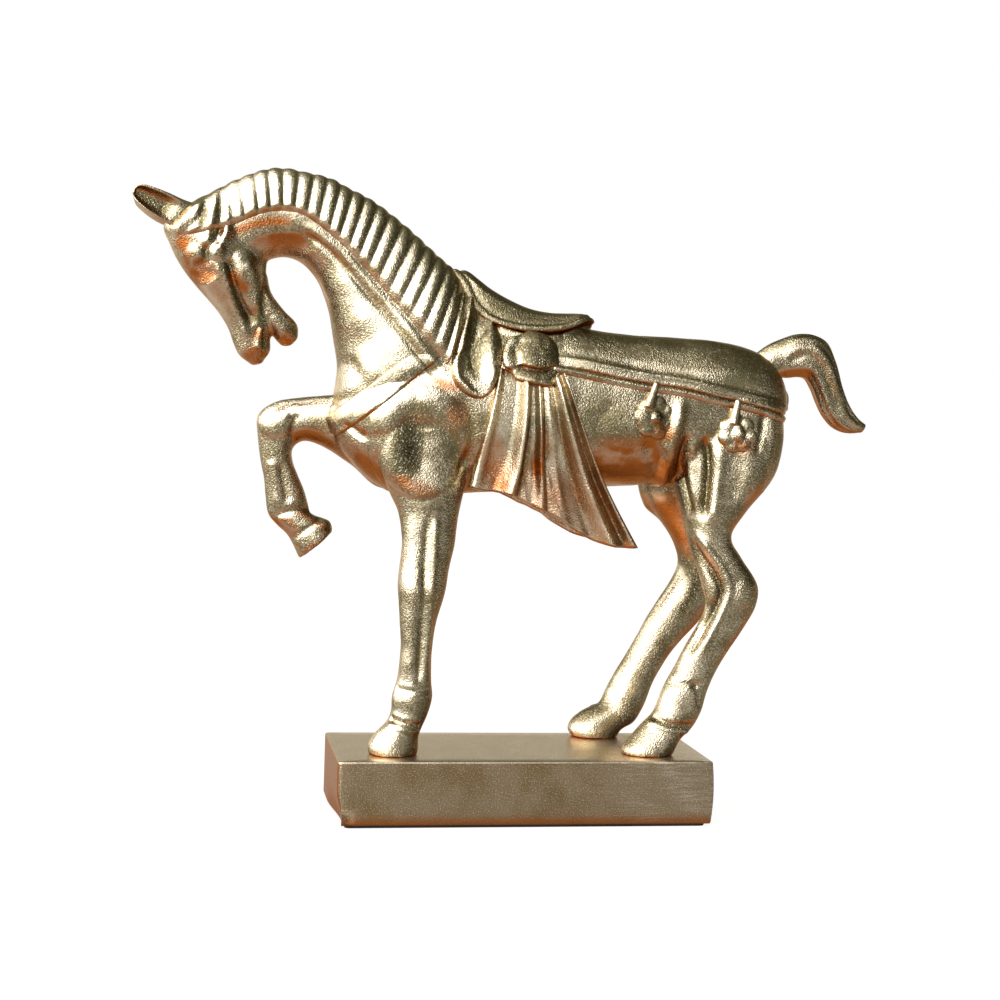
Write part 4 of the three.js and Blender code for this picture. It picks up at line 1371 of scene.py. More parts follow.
@dataclass
class Saddle:
    """The seat with its raised pommel and cantle, and the rolled band along its rim."""

    casting: Casting
    floor: float = 147.0
    rim_width: float = 3.0
    rim_height: float = 2.6
    rows: tuple[tuple[float, float, float, float], ...] = (
        (-28.2, 178.8, 180.6, 2.4),
        (-26, 175.8, 181.6, 5),
        (-23.3, 169.8, 180.9, 8),
        (-19.8, 165.2, 178.4, 10.6),
        (-15, 162.2, 175.0, 12.4),
        (-8, 160.4, 171.3, 13.4),
        (0, 159.6, 168.2, 13.8),
        (8, 160.2, 166.9, 13.6),
        (14, 161.5, 166.9, 13),
        (18.6, 163.6, 167.0, 12),
        (21.6, 164.3, 166.7, 10),
        (23.2, 163.9, 165.4, 7.6),
        (24.0, 163.4, 164.2, 5.0),
    )

    def surface(self) -> Surface:
        """The seat and its rim band, melted into each other."""
        fine = through(self.rows, 88)
        angles = np.linspace(0, math.pi, 61)
        rings = []
        for x, rim, seat, half in fine.tolist():
            ring = []
            for angle in angles.tolist():
                side = math.cos(angle)
                lift = math.sin(angle)
                dish = 0.5 * math.exp(-((abs(side) - 0.74) / 0.07) ** 2)
                ring.append((x, half * side, rim + (seat - rim) * lift + dish))
            inner = max(half - 2.0, 0.3)
            ring += [(x, -half + 0.3, rim - 1.4), (x, -inner, rim - 2.0), (x, -inner, self.floor)]
            ring += [(x, inner, self.floor), (x, inner, rim - 2.0), (x, half - 0.3, rim - 1.4)]
            rings.append(ring)
        seat = Surface.from_rings(np.array(rings))
        return fused(Surface.joined([seat, self._band(fine)]), 0.42)

    def _band(self, fine: Array) -> Surface:
        """The roll that runs along the rim and over the pommel's tip."""
        near = np.stack([fine[::-1, 0], -fine[::-1, 3], fine[::-1, 1] + 0.3], axis=1)
        over = [(-29.3, y, 180.6 - abs(y) * 0.25) for y in np.linspace(-1.6, 1.6, 5).tolist()]
        far = near[::-1] * (1, -1, 1)
        path = np.vstack([near[:-2], over, far[2:]])
        path = relaxed_line(path, 6)
        ups = np.stack([np.full(len(path), -0.25), path[:, 1] * 0.07, np.full(len(path), 0.8)], axis=1)
        share = np.linspace(-1, 1, len(path))
        size = 0.62 + 0.38 * smooth(np.abs(share), 0.95, 0.5) + 0.5 * smooth(np.abs(share), 0.4, 0.08)
        return swept_bar(path, ups, self.rim_width * size, self.rim_height * size, 16)


def relaxed_line(path: Array, rounds: int) -> Array:
    """A path with its corners eased."""
    eased = path.copy()
    for _ in range(rounds):
        eased[1:-1] += 0.5 * ((eased[:-2] + eased[2:]) / 2 - eased[1:-1])
    return eased


HEM = (
    (6.5, 146.6), (14.5, 145.4), (24.5, 143.6), (34, 142), (43.5, 140.6), (50.5, 140), (58, 139),
    (68, 137), (75.5, 135.6), (83, 134.2), (91, 132.4), (97, 131), (110, 129.4),
)
FLAP = (
    (-25.0, 171.0), (-28.0, 161.0), (-30.6, 152.5), (-32.2, 145), (-31.6, 139.5), (-28.6, 135.8),
    (-24.6, 133.6), (-20.8, 133.4), (-17.2, 136.2), (-14.8, 141.2), (-13.5, 147.5), (-13.2, 154),
    (-14.4, 160), (-18, 164.5),
)
FLAP_SPINE = ((-22.6, 170), (-25.6, 155), (-25.6, 145), (-23.5, 137))


@dataclass
class Harness:
    """The layers that lie on the horse: flaps, rump cloth, hem cords and breast strap."""

    casting: Casting

    def flap(self, side: Side) -> Surface:
        """A leaf shaped saddle flap with a rolled front edge and a dished face."""
        outline = [tuple(p) for p in through(FLAP, 70, closed=True).tolist()]

        def height(points: Array, reach: Array) -> Array:
            view = points[:, [0, 2]]
            _, share, across = along_line(view, FLAP_SPINE)
            roll = bell(reach, 1.9, 1.6) * smooth(across, 0.0, -3.0)
            valley = bell(across, 1.6, 2.9) * smooth(share, 1.0, 0.75) * smooth(reach, 0.5, 3.0)
            crown = bell(across, 8.0, 3.0) * smooth(reach, -0.5, 2.5)
            relief = 1.9 + 1.5 * roll - 1.4 * valley + 1.7 * crown
            return -0.6 + smooth(reach, -0.7, 0.75) * relief

        return overlay(self.casting, lambda p: inside_outline(p[:, [0, 2]], outline), height, side, splits=1)

    def rump_cloth(self) -> Surface:
        """The cloth over the rump, which ends in a hem on both sides."""
        front = 4.0

        def inside(points: Array) -> Array:
            _, _, above = along_line(points[:, [0, 2]], HEM)
            reach = np.minimum(above, points[:, 0] - front)
            return np.where((points[:, 2] > 120) & (points[:, 0] > 0), reach, -9.0)

        def height(points: Array, reach: Array) -> Array:
            valley = bell(reach, 5.4, 1.6) * (1 - smooth(points[:, 0], 92, 99))
            start = smooth(points[:, 0], front + 0.5, front + 17.0)
            rise = 1.0 + 0.5 * start + 0.6 * bell(reach, 3.2, 0.9) - 0.4 * valley
            return -0.5 + smooth(reach, -0.4, 0.7) * rise * (0.35 + 0.65 * start)

        return overlay(self.casting, inside, height)

    def hem_cord(self, side: Side) -> Surface:
        """The raised cord under the hem, on one side."""
        line = [(x, z - 1.35) for x, z in HEM]

        def inside(points: Array) -> Array:
            distance, _, _ = along_line(points[:, [0, 2]], line)
            return np.where((points[:, 2] > 120) & (points[:, 0] > 5.5), 1.35 - distance, -9.0)

        def height(points: Array, reach: Array) -> Array:
            return -0.55 + 1.65 * np.sqrt(np.clip((reach + 0.45) / 1.8, 0, 1))

        return overlay(self.casting, inside, height, side, splits=1)

    def breast_strap(self) -> Surface:
        """The band round the chest, with a rounded face."""
        half, top = 4.3, 151.0

        def inside(points: Array) -> Array:
            over = self.casting.strap_plane.height(points) + 4.0
            lower = np.where(points[:, 2] < 146, 0.0, (points[:, 2] - 146) * 0.2)
            reach = half - lower - np.abs(over)
            reach = np.minimum(reach, top - points[:, 2])
            leg = (points[:, 1] > 4) & (points[:, 2] < 131) & (points[:, 0] < -66)
            return np.where((points[:, 0] < -36) & (points[:, 2] > 118) & ~leg, reach, -9.0)

        def height(points: Array, reach: Array) -> Array:
            fade = smooth(top - points[:, 2], -1.0, 8.0)
            swell = 0.6 * np.sqrt(np.clip(reach / half, 0, 1))
            return -0.5 + smooth(reach, -0.5, 0.8) * (1.25 + swell) * fade

        return overlay(self.casting, inside, height, splits=1)


@dataclass(frozen=True)
class Fold:
    """A ridge of the cloth: its place and width at the gathering and at the hem, and its lean."""

    top: float
    foot: float
    height: float
    top_width: float
    foot_width: float
    lean: float = 1.0

    def relief(self, across: Array, down: float) -> Array:
        """Height of the ridge on one line across the cloth.

        Args:
            across: places on the line, from 0 to 1.
            down: the line's own place, from 0 at the gathering to 1 at the hem.

        Returns:
            The heights.
        """
        offset = across - self.top - (self.foot - self.top) * down
        width = self.top_width + (self.foot_width - self.top_width) * down
        width = np.where(offset < 0, width, width * self.lean)
        grown = 0.55 + 0.45 * math.sin(math.pi * min(down + 0.15, 1.0) * 0.62)
        return self.height * grown * bell(offset, 0.0, width)


@dataclass
class Drape:
    """The cloth that is gathered under the knot and hangs in fans past the belly."""

    casting: Casting
    side: int
    columns: int = 150
    rows: int = 70
    thickness: float = 2.2
    hem_rows: tuple[float, ...] = (0.982, 0.988, 0.993, 0.997, 1.0)
    top: Line2D = ((-14.5, 145.0), (-9.0, 143.6), (-2.0, 142.2), (5.0, 142.0), (10.0, 144.0))
    foot: Line2D = (
        (-24.3, 100.2), (-19.5, 99), (-14.3, 98.6), (-9, 97.6), (-4.7, 95.9), (-1.5, 94.5), (2.1, 92.7),
        (5.2, 91.6), (8, 90.2), (11.6, 88.6), (14.6, 86.2), (19.5, 83.4), (24.3, 81), (31, 79.2),
        (36.8, 78.5), (41.6, 78.8),
    )
    folds: tuple[Fold, ...] = (
        Fold(0.03, 0.03, 1.9, 0.05, 0.035),
        Fold(0.41, 0.20, 4.6, 0.075, 0.05, 0.6),
        Fold(0.57, 0.43, 2.6, 0.045, 0.05),
        Fold(0.68, 0.60, 1.5, 0.06, 0.13),
        Fold(0.83, 0.87, 4.4, 0.075, 0.045, 0.8),
        Fold(0.98, 0.975, 2.8, 0.045, 0.03),
    )

    def surface(self) -> Surface:
        """The hanging cloth as a closed sheet with a rounded hem."""
        top = through(self.top, self.columns)
        foot = through(self.foot, self.columns)
        across = np.linspace(0, 1, self.columns)
        downs = np.concatenate([np.linspace(0, 0.975, self.rows), self.hem_rows])
        lines = top + (foot - top) * downs[:, None, None]
        lines[:, :, 0] -= 2.5 * np.sin(math.pi * downs)[:, None] * across**2
        edge = np.clip(np.minimum(across, 1 - across) / 0.02, 0, 1)
        fronts, backs = [], []
        for down, line, skin in zip(downs.tolist(), lines, self._body(lines)):
            hem = min(1.0, (1 - down) / 0.014)
            full = np.sqrt(edge) * math.sqrt(hem) * float(smooth(down, -0.02, 0.08))
            out = skin + 0.5 + (self.thickness - 0.5) * full + self._relief(across, down)
            inner = np.minimum(skin - 1.5 + 1.7 * (1 - full), out - 0.5)
            fronts.append(np.stack([line[:, 0], self.side * out, line[:, 1]], axis=1))
            backs.append(np.stack([line[:, 0], self.side * inner, line[:, 1]], axis=1))
        return thick_sheet(np.array(fronts), np.array(backs))

    def _body(self, lines: Array) -> Array:
        """How far off the middle plane the cloth hangs, on the body or below it.

        Args:
            lines: places in side view, rows by columns by two.

        Returns:
            The distances, rows by columns, eased where the cloth leaves the body.
        """
        belly = self.casting.flank(10.0, 120.0, self.side)[0]
        tuck = 1.2 * smooth(lines[:, :, 1], 112.0, 84.0)
        flank = self.casting.flank
        skin = np.array([[flank(x, max(z, 109.0), self.side)[0] for x, z in line] for line in lines.tolist()])
        skin = np.maximum(skin, belly - 3.2 - tuck)
        for axis, reach in ((1, 4), (0, 8)):
            skin = np.apply_along_axis(moving_mean, axis, skin, reach)
        return skin

    def _relief(self, across: Array, down: float) -> Array:
        """Height of the folds on one line across the cloth, with sharp valleys between them."""
        relief = np.full(len(across), -1.0) - 0.8 * smooth(across, 0.04, 0.0)
        for fold in self.folds:
            relief = np.maximum(relief, -1.3 + fold.relief(across, down) * 1.3)
        drawn = np.stack([across * 60, np.full(len(across), down * 9.0), np.full(len(across), 4.0)], axis=1)
        return relief + 0.5 * smooth(down, 0.2, 0.7) * CastingNoise(seed=5).at(drawn, 3.2)


@dataclass
class Knot:
    """The gathered bundle behind the flap, with a tight roll in front and a lip below."""

    casting: Casting
    side: int
    centre: tuple[float, float] = (-1.8, 149.0)
    half: tuple[float, float] = (11.0, 10.2)
    stand: float = 6.4
    sunk: float = 2.0
    turns: int = 96
    steps: int = 48
    creases: tuple[Crease, ...] = (
        Crease(1.9, line=((-5, 8), (-9, 4), (-9.6, -1), (-8.4, -5)), width=1.5),
        Crease(-1.3, line=((-3.6, 7), (-6.6, 3), (-6.8, -3)), width=1.0),
        Crease(-2.2, line=((-7.5, -3.6), (-1, -5.0), (5, -5.0), (9.5, -3)), width=1.0),
        Crease(2.2, line=((-8, -6.2), (-1, -7.6), (5, -8.4), (9, -8)), width=1.7),
    )

    def surface(self) -> Surface:
        """The bundle as a domed shape pressed into its folds."""
        out, _, slope = self.casting.tangent(*self.centre, self.side, 7.0)
        polars = np.linspace(0, math.pi, self.steps + 1)[1:-1]
        rings = dome_rings(polars, self.turns, (self.half[0], self.stand, self.half[1]))
        rings[:, :, 2] *= 1 + 0.12 * np.cos(np.linspace(0, 2 * math.pi, self.turns, endpoint=False))
        shape = Surface.from_rings(rings + (self.centre[0], 0.0, self.centre[1]))
        points = shape.points
        view = points[:, [0, 2]] - self.centre
        face = smooth(points[:, 1], 0.2, 2.5)
        lift = face * sum(crease.height * crease.shape(view) for crease in self.creases)
        lift += 0.3 * CastingNoise(seed=3).at(points, 2.4)
        points = points + shape.normals() * lift[:, None]
        points[:, 1] += out - self.sunk + slope * (points[:, 2] - self.centre[1])
        points[:, 1] *= self.side
        return relaxed(shape.moved(points).facing_out(), 1, 0.35)


@dataclass
class Pendant:
    """A beaded rosette on a short hanger under the hem cord."""

    casting: Casting
    side: int
    x: float
    z: float
    radius: float
    hanger_top: float
    boss: tuple[float, float]
    beads: int = 7
    lean: float = 0.0
    lopsided: float = 0.1

    def surface(self) -> Surface:
        """The rosette and its hanger, melted into each other."""
        out, slope_x, slope_z = self.casting.tangent(self.x, self.z, self.side, 4.0)
        plate = self.radius * 0.86
        parts = [
            self._button(0.0, 0.0, self.boss[0], self.boss[1], 2.9, -0.2),
            self._button(0.0, 0.0, plate, plate, 2.2, -1.4),
        ]
        for number in range(self.beads):
            angle = 2 * math.pi * (number + 0.5) / self.beads + self.lean
            uneven = 1 - self.lopsided * math.cos(angle) + 0.1 * math.sin(2.4 * number + self.x)
            bead = self.radius * 0.43 * uneven
            reach = self.radius - bead * 0.95
            x, z = reach * math.cos(angle), reach * math.sin(angle)
            parts.append(self._button(x, z, bead, bead, 1.9 * uneven, -0.7))
        parts.append(self._hanger())
        whole = fused(Surface.joined(parts), 0.3)
        points = whole.points.copy()
        points[:, 1] += out + slope_x * points[:, 0] + slope_z * points[:, 2]
        points[:, 0] += self.x
        points[:, 2] += self.z
        points[:, 1] *= self.side
        return relaxed(Surface(points, whole.faces).facing_out(), 12, 0.5)

    def _hanger(self, count: int = 14) -> Surface:
        """The tapering bar from the rosette up to the cord."""
        rise = np.linspace(self.radius * 0.45, self.hanger_top - self.z, count)
        aside = -np.linspace(1.2 + 8 * self.lopsided, 0.0, count)
        path = np.stack([aside, np.full(count, 0.55), rise], axis=1)
        ups = np.tile([0.0, 1.0, 0.0], (count, 1))
        width = np.linspace(4.2, 2.6, count)
        return swept_bar(path, ups, width, width * 0.95)

    @staticmethod
    def _button(x: float, z: float, wide: float, tall: float, high: float, base: float) -> Surface:
        """A domed oval button that stands out along y, flatter behind."""
        rings = dome_rings(np.linspace(0.05, math.pi - 0.05, 18), 28, (wide, high, tall))
        rings[:, :, 1] *= np.where(rings[:, :, 1] > 0, 1.0, 0.6)
        return Surface.from_rings(rings + (x, base, z))


# the block


@dataclass
class Block:
    """The solid block, its corners and edges eased by a file."""

    length: float = 142.0
    width: float = 60.0
    height: float = 23.5
    corner: float = 1.7
    edge: float = 0.55
    felt: float = 1.0
    felt_inset: tuple[float, float] = (3.0, 1.0)
    felt_corner: float = 2.0

    def surface(self) -> Surface:
        """The block as rings from its underside to its top."""
        plan, out = rounded_plan(self.length, self.width, self.corner, turns=8, runs=24)
        lean = [(0.0, self.edge), (self.edge * 0.3, self.edge * 0.3), (self.edge, 0.0)]
        profile = [(inset, -self.height + rise) for inset, rise in reversed(lean)]
        profile += [(0.0, z) for z in np.linspace(-self.height + 1.2, -1.2, 22).tolist()]
        profile += [(inset, -rise) for inset, rise in lean]
        rings = []
        for inset, z in profile:
            ring = self._ring(plan - inset * out, z)
            ring[:, 0] += self._swell(plan[:, 1], z, out[:, 0])
            rings.append(ring)
        top = rings[-1]
        middle = top.mean(axis=0)
        for share in (0.8, 0.5, 0.2):
            inner = middle + (top - middle) * share
            inner[:, 2] = 0.0
            rings.append(inner)
        return Surface.from_rings(np.array(rings))

    @staticmethod
    def _ring(plan: Array, z: float) -> Array:
        """Points of the plan at a height of the horse's frame."""
        return np.column_stack([plan[:, 0], plan[:, 1] - HORSE_SHIFT, np.full(len(plan), z)])

    def _swell(self, y: Array, z: float, nx: Array) -> Array:
        """How far the sawn right end bellies out, and the left end draws in at its lower front."""
        height = (z + self.height) / self.height
        belly = -0.9 * (2 * height - 1) ** 2
        drawn = -2.4 * smooth(height, 0.55, 0.0) * smooth(y, 14.0, -22.0)
        return nx * np.where(nx > 0, belly, drawn)

    def felt_pad(self) -> Surface:
        """The pad under the block."""
        length, width = self.length - 2 * self.felt_inset[0], self.width - 2 * self.felt_inset[1]
        plan, out = rounded_plan(length, width, self.felt_corner, turns=4)
        profile = ((0.25, -self.felt), (0.0, -self.felt * 0.7), (0.0, -0.15), (0.1, 0.0))
        rings = [self._ring(plan - inset * out, z - self.height) for inset, z in profile]
        return Surface.from_rings(np.array(rings))


# shader expressions


class Value:
    """A number that varies over a surface; an expression on values adds its Math nodes."""

    def __init__(self, graph: "Graph", socket: bpy.types.NodeSocket) -> None:
        """Wraps an output socket of the graph."""
        self.graph = graph
        self.socket = socket

    def _maths(self, operation: str, *terms: object) -> "Value":
        """A Math node with this operation on the terms."""
        return self.graph.value("ShaderNodeMath", {"operation": operation}, list(terms))

    def __add__(self, other: object) -> "Value":
        """The sum."""
        return self._maths("ADD", self, other)

    __radd__ = __add__

    def __sub__(self, other: object) -> "Value":
        """The difference."""
        return self._maths("SUBTRACT", self, other)

    def __rsub__(self, other: object) -> "Value":
        """The difference from a number."""
        return self._maths("SUBTRACT", other, self)

    def __mul__(self, other: object) -> "Value":
        """The product."""
        return self._maths("MULTIPLY", self, other)

    __rmul__ = __mul__

    def clipped(self) -> "Value":
        """The value kept between 0 and 1."""
        return self._maths("MINIMUM", self._maths("MAXIMUM", self, 0.0), 1.0)

    def graded(self, low: float, high: float, bottom: float = 0.0, top: float = 1.0) -> "Value":
        """The value moved from the range low to high onto the range bottom to top."""
        settings = {"interpolation_type": "SMOOTHSTEP"}
        return self.graph.value("ShaderNodeMapRange", settings, [self, low, high, bottom, top])


Colour = tuple[float, float, float]
Inputs = Union[Sequence[object], dict[Union[int, str], object], None]


class Graph:
    """The nodes of one material or world."""

    def __init__(self, tree: bpy.types.NodeTree) -> None:
        """Empties the tree."""
        self.tree = tree
        tree.nodes.clear()

    def node(
        self,
        kind: str,
        settings: Optional[dict[str, object]] = None,
        inputs: Inputs = None,
    ) -> bpy.types.Node:
        """Makes a node.

        Args:
            kind: the node's type.
            settings: its own settings, set before its sockets.
            inputs: values or links of its sockets, in order or by name. None leaves a socket as it is.

        Returns:
            The node.
        """
        node = self.tree.nodes.new(kind)
        for key, setting in (settings or {}).items():
            setattr(node, key, setting)
        pairs = inputs.items() if isinstance(inputs, dict) else enumerate(inputs or ())
        for key, given in pairs:
            if given is None:
                continue
            socket = node.inputs[key]
            link = given.socket if isinstance(given, Value) else given
            if isinstance(link, bpy.types.NodeSocket):
                self.tree.links.new(link, socket)
            else:
                socket.default_value = link
        return node

    def value(
        self,
        kind: str,
        settings: Optional[dict[str, object]] = None,
        inputs: Inputs = None,
        out: Union[int, str] = 0,
    ) -> Value:
        """Makes a node and wraps one of its outputs."""
        return Value(self, self.node(kind, settings, inputs).outputs[out])

    def noise(
        self, place: bpy.types.NodeSocket, scale: float, detail: float = 2.0, rough: float = 0.5
    ) -> Value:
        """Soft noise with this many waves in a metre."""
        inputs = {"Vector": place, "Scale": scale, "Detail": detail, "Roughness": rough}
        return self.value("ShaderNodeTexNoise", None, inputs)

    def painted(self, name: str) -> Value:
        """The number that the piece's points hold under this name."""
        return self.value("ShaderNodeAttribute", {"attribute_name": name}, None, "Fac")

    def mixed(self, share: Value, first: object, second: object) -> bpy.types.NodeSocket:
        """A colour between two colours, each given as numbers or as a socket."""
        inputs: dict[Union[int, str], object] = {"Factor": share}
        for key, given in ((6, first), (7, second)):
            inputs[key] = given if isinstance(given, bpy.types.NodeSocket) else (*given, 1.0)
        return self.node("ShaderNodeMix", {"data_type": "RGBA"}, inputs).outputs[2]

    def bump(self, height: Value, strength: float, metres: float) -> bpy.types.NodeSocket:
        """The normal of a relief that is this high where the height is 1."""
        inputs = {"Height": height, "Strength": strength, "Distance": metres}
        return self.node("ShaderNodeBump", None, inputs).outputs[0]


@dataclass(frozen=True)
class Finish:
    """A finish of a surface; each kind says what the sockets of its shader get."""

    name: str

    def sockets(self, graph: Graph, place: bpy.types.NodeSocket) -> dict[str, object]:
        """Makes the nodes of the finish.

        Args:
            graph: the material's nodes.
            place: the place on the object in metres.

        Returns:
            Values and links of the shader's sockets by name.
        """
        raise NotImplementedError

    def material(self) -> bpy.types.Material:
        """The finish as a material."""
        made = bpy.data.materials.new(self.name)
        made.use_nodes = True
        graph = Graph(made.node_tree)
        place = graph.node("ShaderNodeTexCoord").outputs["Object"]
        shader = graph.node("ShaderNodeBsdfPrincipled", None, self.sockets(graph, place))
        graph.node("ShaderNodeOutputMaterial", None, [shader.outputs[0]])
        return made


@dataclass(frozen=True)
class CastMetal(Finish):
    """Sand-cast metal, with shade and dark reflections painted into its hollows and onto some faces, and a
    painted orange reflection underneath.
    """

    # The metal's own colour comes first; the next two are darker copies of it painted as shade and dark
    # reflection, the second nearly black for creases, and the reddish one is a painted orange reflection from
    # below.
    bright: Colour = (0.75, 0.65, 0.475)
    painted_shade: Colour = (0.19, 0.155, 0.078)
    deep: Colour = (0.07, 0.058, 0.028)
    orange_reflection: Colour = (0.38, 0.112, 0.022)
    spark: Colour = (0.95, 0.90, 0.78)
    edge_tint: Colour = (1.0, 0.84, 0.64)
    roughness: float = 0.18
    grain_size: float = 0.52
    grain_height: float = 0.00048

    def sockets(self, graph: Graph, place: bpy.types.NodeSocket) -> dict[str, object]:
        """Cloudy colours over painted shade and a painted orange reflection, and a sandy relief, more of it
        in hollows.
        """
        fine = 1000.0 / self.grain_size
        painted_shade = graph.painted(PAINTED_SHADE)
        painted_reflection = graph.painted(PAINTED_REFLECTION)
        cloud = graph.noise(place, 95.0, 3.0)
        patch = graph.noise(place, 60.0).graded(0.38, 0.62)
        waves = graph.noise(place, 420.0)
        sand = graph.noise(place, fine, 1.2)
        flecks = graph.noise(place, fine * 0.78, 1.0)
        cells = {"Vector": place, "Scale": fine * 0.8, "Smoothness": 0.4}
        pits = graph.value("ShaderNodeTexVoronoi", {"feature": "SMOOTH_F1"}, cells)
        # Painted shade from the points, with random cloudy tone and dark flecks, darkens the metal and past 1
        # turns it nearly black; the painted orange reflection is mixed in last.
        shade_and_mottle = (painted_shade + cloud.graded(0.42, 0.72) * 0.35 + flecks.graded(0.46, 0.34) * 0.3).clipped()
        orange_reflection = (painted_reflection * cloud.graded(0.3, 0.65, 0.75, 1.15) + sand.graded(0.55, 0.8) * painted_reflection * 0.2).clipped()
        colour = graph.mixed(shade_and_mottle, self.bright, self.painted_shade)
        colour = graph.mixed((painted_shade - 1).clipped(), colour, self.deep)
        colour = graph.mixed(flecks.graded(0.58, 0.68) * (painted_shade.clipped() * 0.26 + 0.12), colour, self.spark)
        relief = (sand + pits * 0.5) * (0.18 + patch * 0.37 + painted_shade.clipped() * 0.3) + waves * 0.2
        return {
            "Base Color": graph.mixed(orange_reflection, colour, self.orange_reflection),
            "Metallic": 1.0,
            "Roughness": (cloud.graded(0.3, 0.75, -0.05, 0.12) + painted_shade * 0.06 + self.roughness).clipped(),
            "Specular Tint": (*self.edge_tint, 1.0),
            "Normal": graph.bump(relief, 0.9, self.grain_height),
        }


@dataclass(frozen=True)
class FiledMetal(Finish):
    """Bar stock dressed with a file: fine sparkle, drawn marks near one end."""

    bright: Colour = (0.69, 0.62, 0.51)
    painted_shade: Colour = (0.25, 0.172, 0.082)
    orange_reflection: Colour = (0.34, 0.115, 0.026)
    edge_tint: Colour = (1.0, 0.88, 0.72)
    roughness: float = 0.33
    stroke_tilt: float = 38.0
    grain_height: float = 0.0003

    def sockets(self, graph: Graph, place: bpy.types.NodeSocket) -> dict[str, object]:
        """Sparkle all over, and strokes of the file towards one end."""
        cloud = graph.noise(place, 70.0, 3.0)
        spark = graph.noise(place, 2100.0, 1.5)
        tilt = (0.0, math.radians(self.stroke_tilt), 0.0)
        drawn = {"Vector": place, "Rotation": tilt, "Scale": (90.0, 90.0, 2600.0)}
        strokes = graph.noise(graph.node("ShaderNodeMapping", None, drawn).outputs[0], 1.0)
        along = graph.value("ShaderNodeSeparateXYZ", None, {"Vector": place}, "X")
        filed = along.graded(0.01, 0.06) * cloud.graded(0.35, 0.6)
        worn = cloud.graded(0.35, 0.75) * 0.2 - spark.graded(0.54, 0.7) * 0.6
        marks = filed * (strokes.graded(0.45, 0.65) * 0.35 + 0.15)
        # The points' painted shade darkens the block's sides and their painted orange reflection colours its
        # foot and left end; the random wear and the file marks are the bar's own.
        shade_and_mottle = (graph.painted(PAINTED_SHADE) + worn - marks).clipped()
        metal = graph.mixed(shade_and_mottle, self.bright, self.painted_shade)
        return {
            "Base Color": graph.mixed(graph.painted(PAINTED_REFLECTION), metal, self.orange_reflection),
            "Metallic": 1.0,
            "Roughness": (spark.graded(0.3, 0.8, -0.06, 0.08) + self.roughness).clipped(),
            "Specular Tint": (*self.edge_tint, 1.0),
            "Normal": graph.bump(spark * 0.6 + strokes * filed * 2.4, 0.5, self.grain_height),
        }


@dataclass(frozen=True)
class TurnedSteel(Finish):
    """Zinc plated screw steel with fine rings from the lathe."""

    colour: Colour = (0.46, 0.47, 0.48)
    stained: Colour = (0.36, 0.36, 0.37)

    def sockets(self, graph: Graph, place: bpy.types.NodeSocket) -> dict[str, object]:
        """Rings round the screw's axis, with faint stains."""
        turned = {"Vector": place, "Scale": 900.0, "Distortion": 1.5}
        rings = graph.value("ShaderNodeTexWave", {"bands_direction": "Z"}, turned)
        stain = graph.noise(place, 400.0, 3.0)
        return {
            "Base Color": graph.mixed(stain, self.colour, self.stained),
            "Metallic": 1.0,
            "Roughness": stain.graded(0.2, 0.8, 0.3, 0.45),
            "Normal": graph.bump(rings, 0.2, 0.0001),
        }


@dataclass(frozen=True)
class Felt(Finish):
    """Dark pressed felt with short fibres."""

    dark: Colour = (0.018, 0.016, 0.014)
    light: Colour = (0.05, 0.045, 0.04)

    def sockets(self, graph: Graph, place: bpy.types.NodeSocket) -> dict[str, object]:
        """Short fibres in two tones."""
        fibres = graph.noise(place, 2600.0, 4.0, 0.7)
        return {
            "Base Color": graph.mixed(fibres.graded(0.35, 0.7), self.dark, self.light),
            "Roughness": 0.95,
            "Normal": graph.bump(fibres, 0.6, 0.0003),
        }


# pieces


def to_metres(points: Array) -> Array:
    """Points of the horse's frame in metres of the model's frame."""
    return (points + (0.0, HORSE_SHIFT, BLOCK_TOP)) * MILLIMETRE


def hollow_share(surface: Surface, normals: Array) -> Array:
    """How deep each point lies in a hollow, from 0 to 1."""
    edges = surface.edges()
    soft = surface.points.copy()
    for _ in range(HOLLOW_ROUNDS):
        soft += 0.6 * (average(soft, edges) - soft)
    depth = ((soft - surface.points) * normals).sum(axis=1)
    return smooth(depth, *HOLLOW_DEPTHS)


